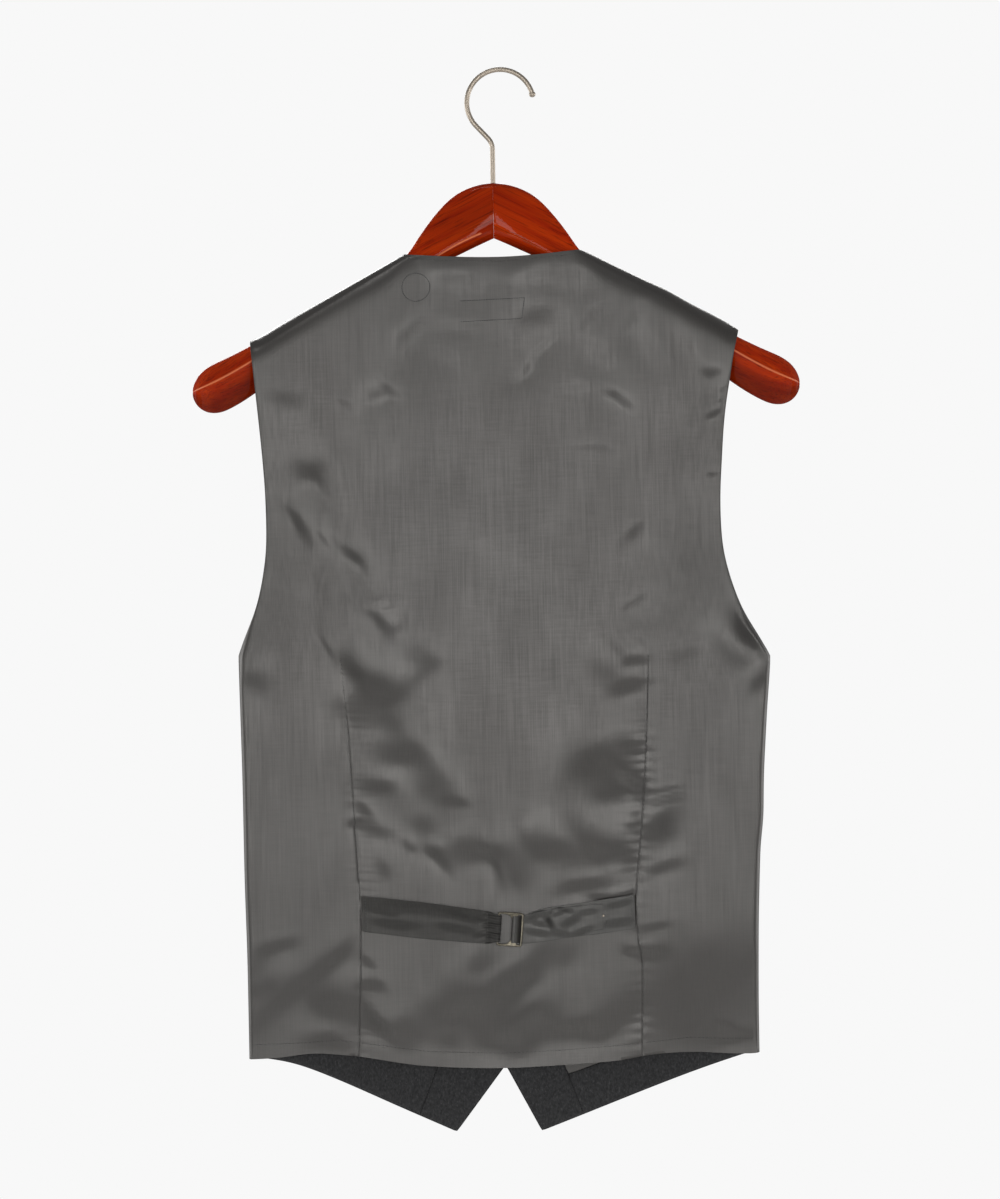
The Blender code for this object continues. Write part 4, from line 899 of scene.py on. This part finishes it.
def makeArm(side, sign, look):
    node = f"hanger_arm_{side}"
    shape = readNode(node)
    shapeArmBack(shape, sign, look)
    arm = meshPiece(f"wooden_arm_{side}", shape, cherry)
    subdivided(arm, look["levels"])
    points = readPoints(arm)
    slope = math.radians(look["grainSlope"])
    run = (points[:, 0] - look["stemX"]) * sign
    fall = look["crest"] - points[:, 2]
    along = run * math.cos(slope) + fall * math.sin(slope)
    across = -run * math.sin(slope) + fall * math.cos(slope)
    apartAlong, apartAcross = look["grainApart"]
    grain = np.stack([along + apartAlong * sign, points[:, 1], across + apartAcross * sign], 1)
    writeAttribute(arm, "grain", grain * mm)
    roundedByAngle(arm, 35)
    return seated(arm, node)


def makePlain(name, node, material, levels, angle, sharpness=0.6):
    # a node whose shape is right, with its edges rounded
    shape = readNode(node)
    sharpenRim(shape, sharpness, angle)
    item = meshPiece(name, shape, material)
    subdivided(item, levels)
    return seated(item, node)


hookShape = {
    "wire": 1.8,
    "radius": 24.3,
    "tipAngle": 14.0,
    "backAngle": 223.0,
    "bendRadius": 12.0,
    "stemX": -6.1,
    "stemEnd": -103.0,
    "ball": 2.4,
    "ballHeight": 0.94,
    "sides": 20,
    "arcSteps": 64,
    "bendSteps": 10,
}


def makeHook(look):
    # steel rod drawn round a former: one long arc, a straight run back to the middle, a bend and the stem
    tip, back = math.radians(look["tipAngle"]), math.radians(look["backAngle"])
    centre = Vector((0, 0, look["wire"] - look["radius"])) * mm
    start = centre + Vector((math.cos(tip), 0, math.sin(tip))) * look["radius"] * mm
    deselectAll()
    bpy.ops.mesh.primitive_circle_add(vertices=look["sides"], radius=look["wire"] * mm, fill_type="NGON",
                                      location=start, rotation=(0, -tip, 0))
    hook = bpy.context.object
    hook.name = hook.data.name = "wire_hook"
    bpy.ops.object.transform_apply(location=True, rotation=True, scale=True)
    editAll()
    bpy.ops.mesh.spin(steps=look["arcSteps"], angle=back - tip, center=centre, axis=(0, 1, 0))
    slope = back - math.pi
    end = centre + Vector((math.cos(back), 0, math.sin(back))) * look["radius"] * mm
    run = Vector((math.sin(slope), 0, -math.cos(slope)))
    cut = look["bendRadius"] * math.tan(slope / 2) * mm
    straight = (look["stemX"] * mm - end.x) / run.x - cut
    bpy.ops.mesh.extrude_region_move(TRANSFORM_OT_translate={"value": run * straight})
    middle = Vector((look["stemX"] - look["bendRadius"], 0, (end + run * (straight + cut)).z / mm - cut / mm)) * mm
    bpy.ops.mesh.spin(steps=look["bendSteps"], angle=slope, center=middle, axis=(0, -1, 0))
    down = look["stemEnd"] * mm - middle.z
    bpy.ops.mesh.extrude_region_move(TRANSFORM_OT_translate={"value": (0, 0, down)})
    bpy.ops.mesh.select_all(action="SELECT")
    bpy.ops.mesh.normals_make_consistent(inside=False)
    bpy.ops.mesh.primitive_uv_sphere_add(segments=20, ring_count=12, radius=look["ball"] * mm, location=start)
    bpy.ops.transform.resize(value=(1.0, 1.0, look["ballHeight"]), center_override=start)
    bpy.ops.object.mode_set(mode="OBJECT")
    hook.data.materials.append(nickel)
    roundedByAngle(hook, 40)
    return seated(hook, "hanger_hook")


makeArm("left", -1, armShape)
makeArm("right", 1, armShape)
makeHook(hookShape)
makePlain("strap_buckle", "buckle", brass, 2, 80)
buttons = [makePlain(f"front_button_{number}", f"button_{number}", horn, 1, 30)
           for number in range(1, 6)]

print("pin and stitches")


def surfaceOf(*items):
    points, faces = [], []
    for item in items:
        start = len(points)
        points += [vert.co[:] for vert in item.data.vertices]
        faces += [tuple(start + index for index in polygon.vertices) for polygon in item.data.polygons]
    return BVHTree.FromPolygons(points, faces)


def castOnto(surface, x, z, seenFrom):
    # where a line through x and z, seen from -Y or +Y, first meets the surface, and its normal there
    start = Vector((x * mm, seenFrom * 0.3, z * mm))
    return surface.ray_cast(start, Vector((0, -seenFrom, 0)))[:2]


def loose(item):
    # a piece with no node of its own
    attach(item, "root")
    return item


pinShape = {"place": (65.8, -615.9), "radius": 0.85, "flatness": 0.6}


def makePin(look):
    # head of the dressmaker's pin that holds the strap's tail
    x, z = look["place"]
    hit = castOnto(surfaceOf(cloth["strap_right"]), x, z, -1)[0]
    deselectAll()
    bpy.ops.mesh.primitive_uv_sphere_add(segments=16, ring_count=8, radius=look["radius"] * mm, location=hit)
    pin = bpy.context.object
    pin.name = pin.data.name = "pin_head"
    bpy.ops.object.transform_apply(location=True, rotation=True, scale=True)
    editAll()
    bpy.ops.transform.resize(value=(1.0, look["flatness"], 1.0), center_override=hit)
    bpy.ops.object.mode_set(mode="OBJECT")
    pin.data.materials.append(nickel)
    roundedByAngle(pin, 60)
    return loose(pin)


stitchLook = {
    "sink": 0.05,
    "steepest": 0.2,        # no stitch is laid where the cloth turns further away than this
    # for each kind of row: the stitches' spacing and length, and half their thread's thickness, which is
    # a little more than real, so that it shows
    "rows": {
        "dart": {"pitch": 3.1, "length": 1.9, "thread": 0.2},
        "edge": {"pitch": 3.0, "length": 2.0, "thread": 0.2},
        "strap": {"pitch": 2.3, "length": 1.5, "thread": 0.2},
        "mark": {"pitch": 1.7, "length": 1.45, "thread": 0.26},
        "wool": {"pitch": 4.2, "length": 1.8, "thread": 0.2},
        "hole": {"pitch": 0.8, "length": 0.75, "thread": 0.25},
        "cross": {"pitch": 3.6, "length": 4.0, "thread": 0.3},
    },
}


def stitchForm():
    # one stitch of unit length, a bead of thread flattened where it lies on the cloth
    deselectAll()
    bpy.ops.mesh.primitive_uv_sphere_add(segments=6, ring_count=4, radius=0.5)
    bead = bpy.context.object
    editAll()
    bpy.ops.transform.rotate(value=math.pi / 2, orient_axis="Y", center_override=(0, 0, 0))
    bpy.ops.object.mode_set(mode="OBJECT")
    points = np.array([vert.co[:] for vert in bead.data.vertices])
    faces = [tuple(polygon.vertices) for polygon in bead.data.polygons]
    bpy.data.objects.remove(bead, do_unlink=True)
    points[:, 0] = np.sign(points[:, 0]) * np.abs(points[:, 0] * 2) ** 0.7 / 2
    return points, faces


beadPoints, beadFaces = stitchForm()


def evenlyAlong(path, pitch):
    corners = [Vector((x, 0, z)) for x, z in path]
    places, left = [], pitch / 2
    for first, second in zip(corners[:-1], corners[1:]):
        run = (second - first).length
        while left <= run:
            places.append((first.lerp(second, left / run), (second - first).normalized()))
            left += pitch
        left -= run
    return places


def stitches(name, paths, surface, kind, material, seenFrom=-1):
    # lays a row of stitches on the cloth along each path, each bead turned to lie on the surface
    row = stitchLook["rows"][kind]
    points, faces = [], []
    for path in paths:
        for place, along in evenlyAlong(path, row["pitch"]):
            hit, normal = castOnto(surface, place.x, place.z, seenFrom)
            if hit is None or normal.y * seenFrom < stitchLook["steepest"]:
                continue
            along = (along - normal * along.dot(normal)).normalized()
            aside = normal.cross(along)
            size = Vector((row["length"], 2 * row["thread"], 2 * row["thread"])) * mm
            turn = Matrix((along * size.x, aside * size.y, normal * size.z)).transposed()
            lift = hit + normal * (row["thread"] - stitchLook["sink"]) * mm
            first = len(points)
            points += [lift + turn @ Vector(point) for point in beadPoints]
            faces += [tuple(first + index for index in face) for face in beadFaces]
    mesh = bpy.data.meshes.new(name)
    mesh.from_pydata(points, [], faces)
    mesh.materials.append(material)
    mesh.shade_smooth()
    item = bpy.data.objects.new(name, mesh)
    bpy.context.scene.collection.objects.link(item)
    return loose(item)


# Where the rows of stitches run on the back and its straps: across and height. The dart rows follow the
# darts between two heights, and the neck row follows the top line between two places across.
backRows = {
    "darts": (-426, -719),
    "neckDrop": 2.9,
    "neckEnds": (-74, 56),
    "hem": [(-190, -707), (-157, -706), (-128, -704), (-84, -710), (-62, -713), (-7.5, -715), (33, -713.5),
            (80, -710.5), (128, -706), (150, -707.5), (175, -708)],
    "label": [[(-31.6, -167.2), (15.4, -165.6)], [(-31.4, -182.4), (13.3, -180.6)],
              [(15.4, -165.6), (13.3, -180.6)]],
    "ring": (-63.5, -156.6),
    "ringRadius": 10.2,
    "straps": [[(-107.4, -600.5), (-106.6, -625)], [(-18.2, -612), (-18.4, -633.5)], [(86.2, -602), (86.0, -625.5)],
               [(88.2, -602), (88.0, -625)]],
}


def stitchBack(rows):
    high, low = rows["darts"]
    darts = [[(float(alongTable(dart, z)), z) for z in np.linspace(high, low, 40)] for dart in (leftDart, rightDart)]
    first, last = rows["neckEnds"]
    neck = [(x, z - rows["neckDrop"]) for x, z in backTop if first < x < last]
    (x, z), radius = rows["ring"], rows["ringRadius"]
    ring = [(x + radius * math.cos(t), z + radius * math.sin(t)) for t in np.linspace(0, 2 * math.pi, 40)]
    satinSurface = surfaceOf(cloth["back"])
    strapSurface = surfaceOf(cloth["back"], cloth["strap_left"], cloth["strap_right"])
    return [
        stitches("dart_stitches", darts, satinSurface, "dart", satinThread),
        stitches("edge_stitches", [neck, rows["hem"]], satinSurface, "edge", satinThread),
        stitches("label_stitches", [*rows["label"], ring], satinSurface, "mark", woolThread),
        stitches("strap_stitches", rows["straps"], strapSurface, "strap", satinThread),
    ]


# The same for the fronts. A button's thread crosses it in two bars, and a hole has two rows.
frontRows = {
    "left": [[(-62.5, -166), (-43, -222), (-18, -293), (7.4, -365), (7.4, -702), (-8, -718), (-29, -764)]],
    "right": [[(48.5, -166), (29, -222), (4, -293)]],
    "buttonHeights": [-381.0 - 76.5 * number for number in range(5)],
    "hole": (-4.0, -22.5),
    "holeHalf": 0.65,
    "bar": (-8.8, -5.2),
    "barHalf": 1.6,
}


def pairedRows(ends, half):
    first, last = ends
    return [[(first, z + side * half), (last, z + side * half)] for z in frontRows["buttonHeights"]
            for side in (-1, 1)]


pin = makePin(pinShape)
backThread = stitchBack(backRows)
woolSurface = {side: surfaceOf(cloth[f"front_{side}"]) for side in ("left", "right")}
frontThread = {side: [stitches(f"edge_stitches_{side}", frontRows[side], surface, "wool", woolThread, 1)]
               for side, surface in woolSurface.items()}
holes = pairedRows(frontRows["hole"], frontRows["holeHalf"])
frontThread["left"].append(
    stitches("buttonhole_stitches", holes, woolSurface["left"], "hole", woolThread, 1))
bars = pairedRows(frontRows["bar"], frontRows["barHalf"])
stitches("button_threads", bars, surfaceOf(*buttons), "cross", woolThread, 1)
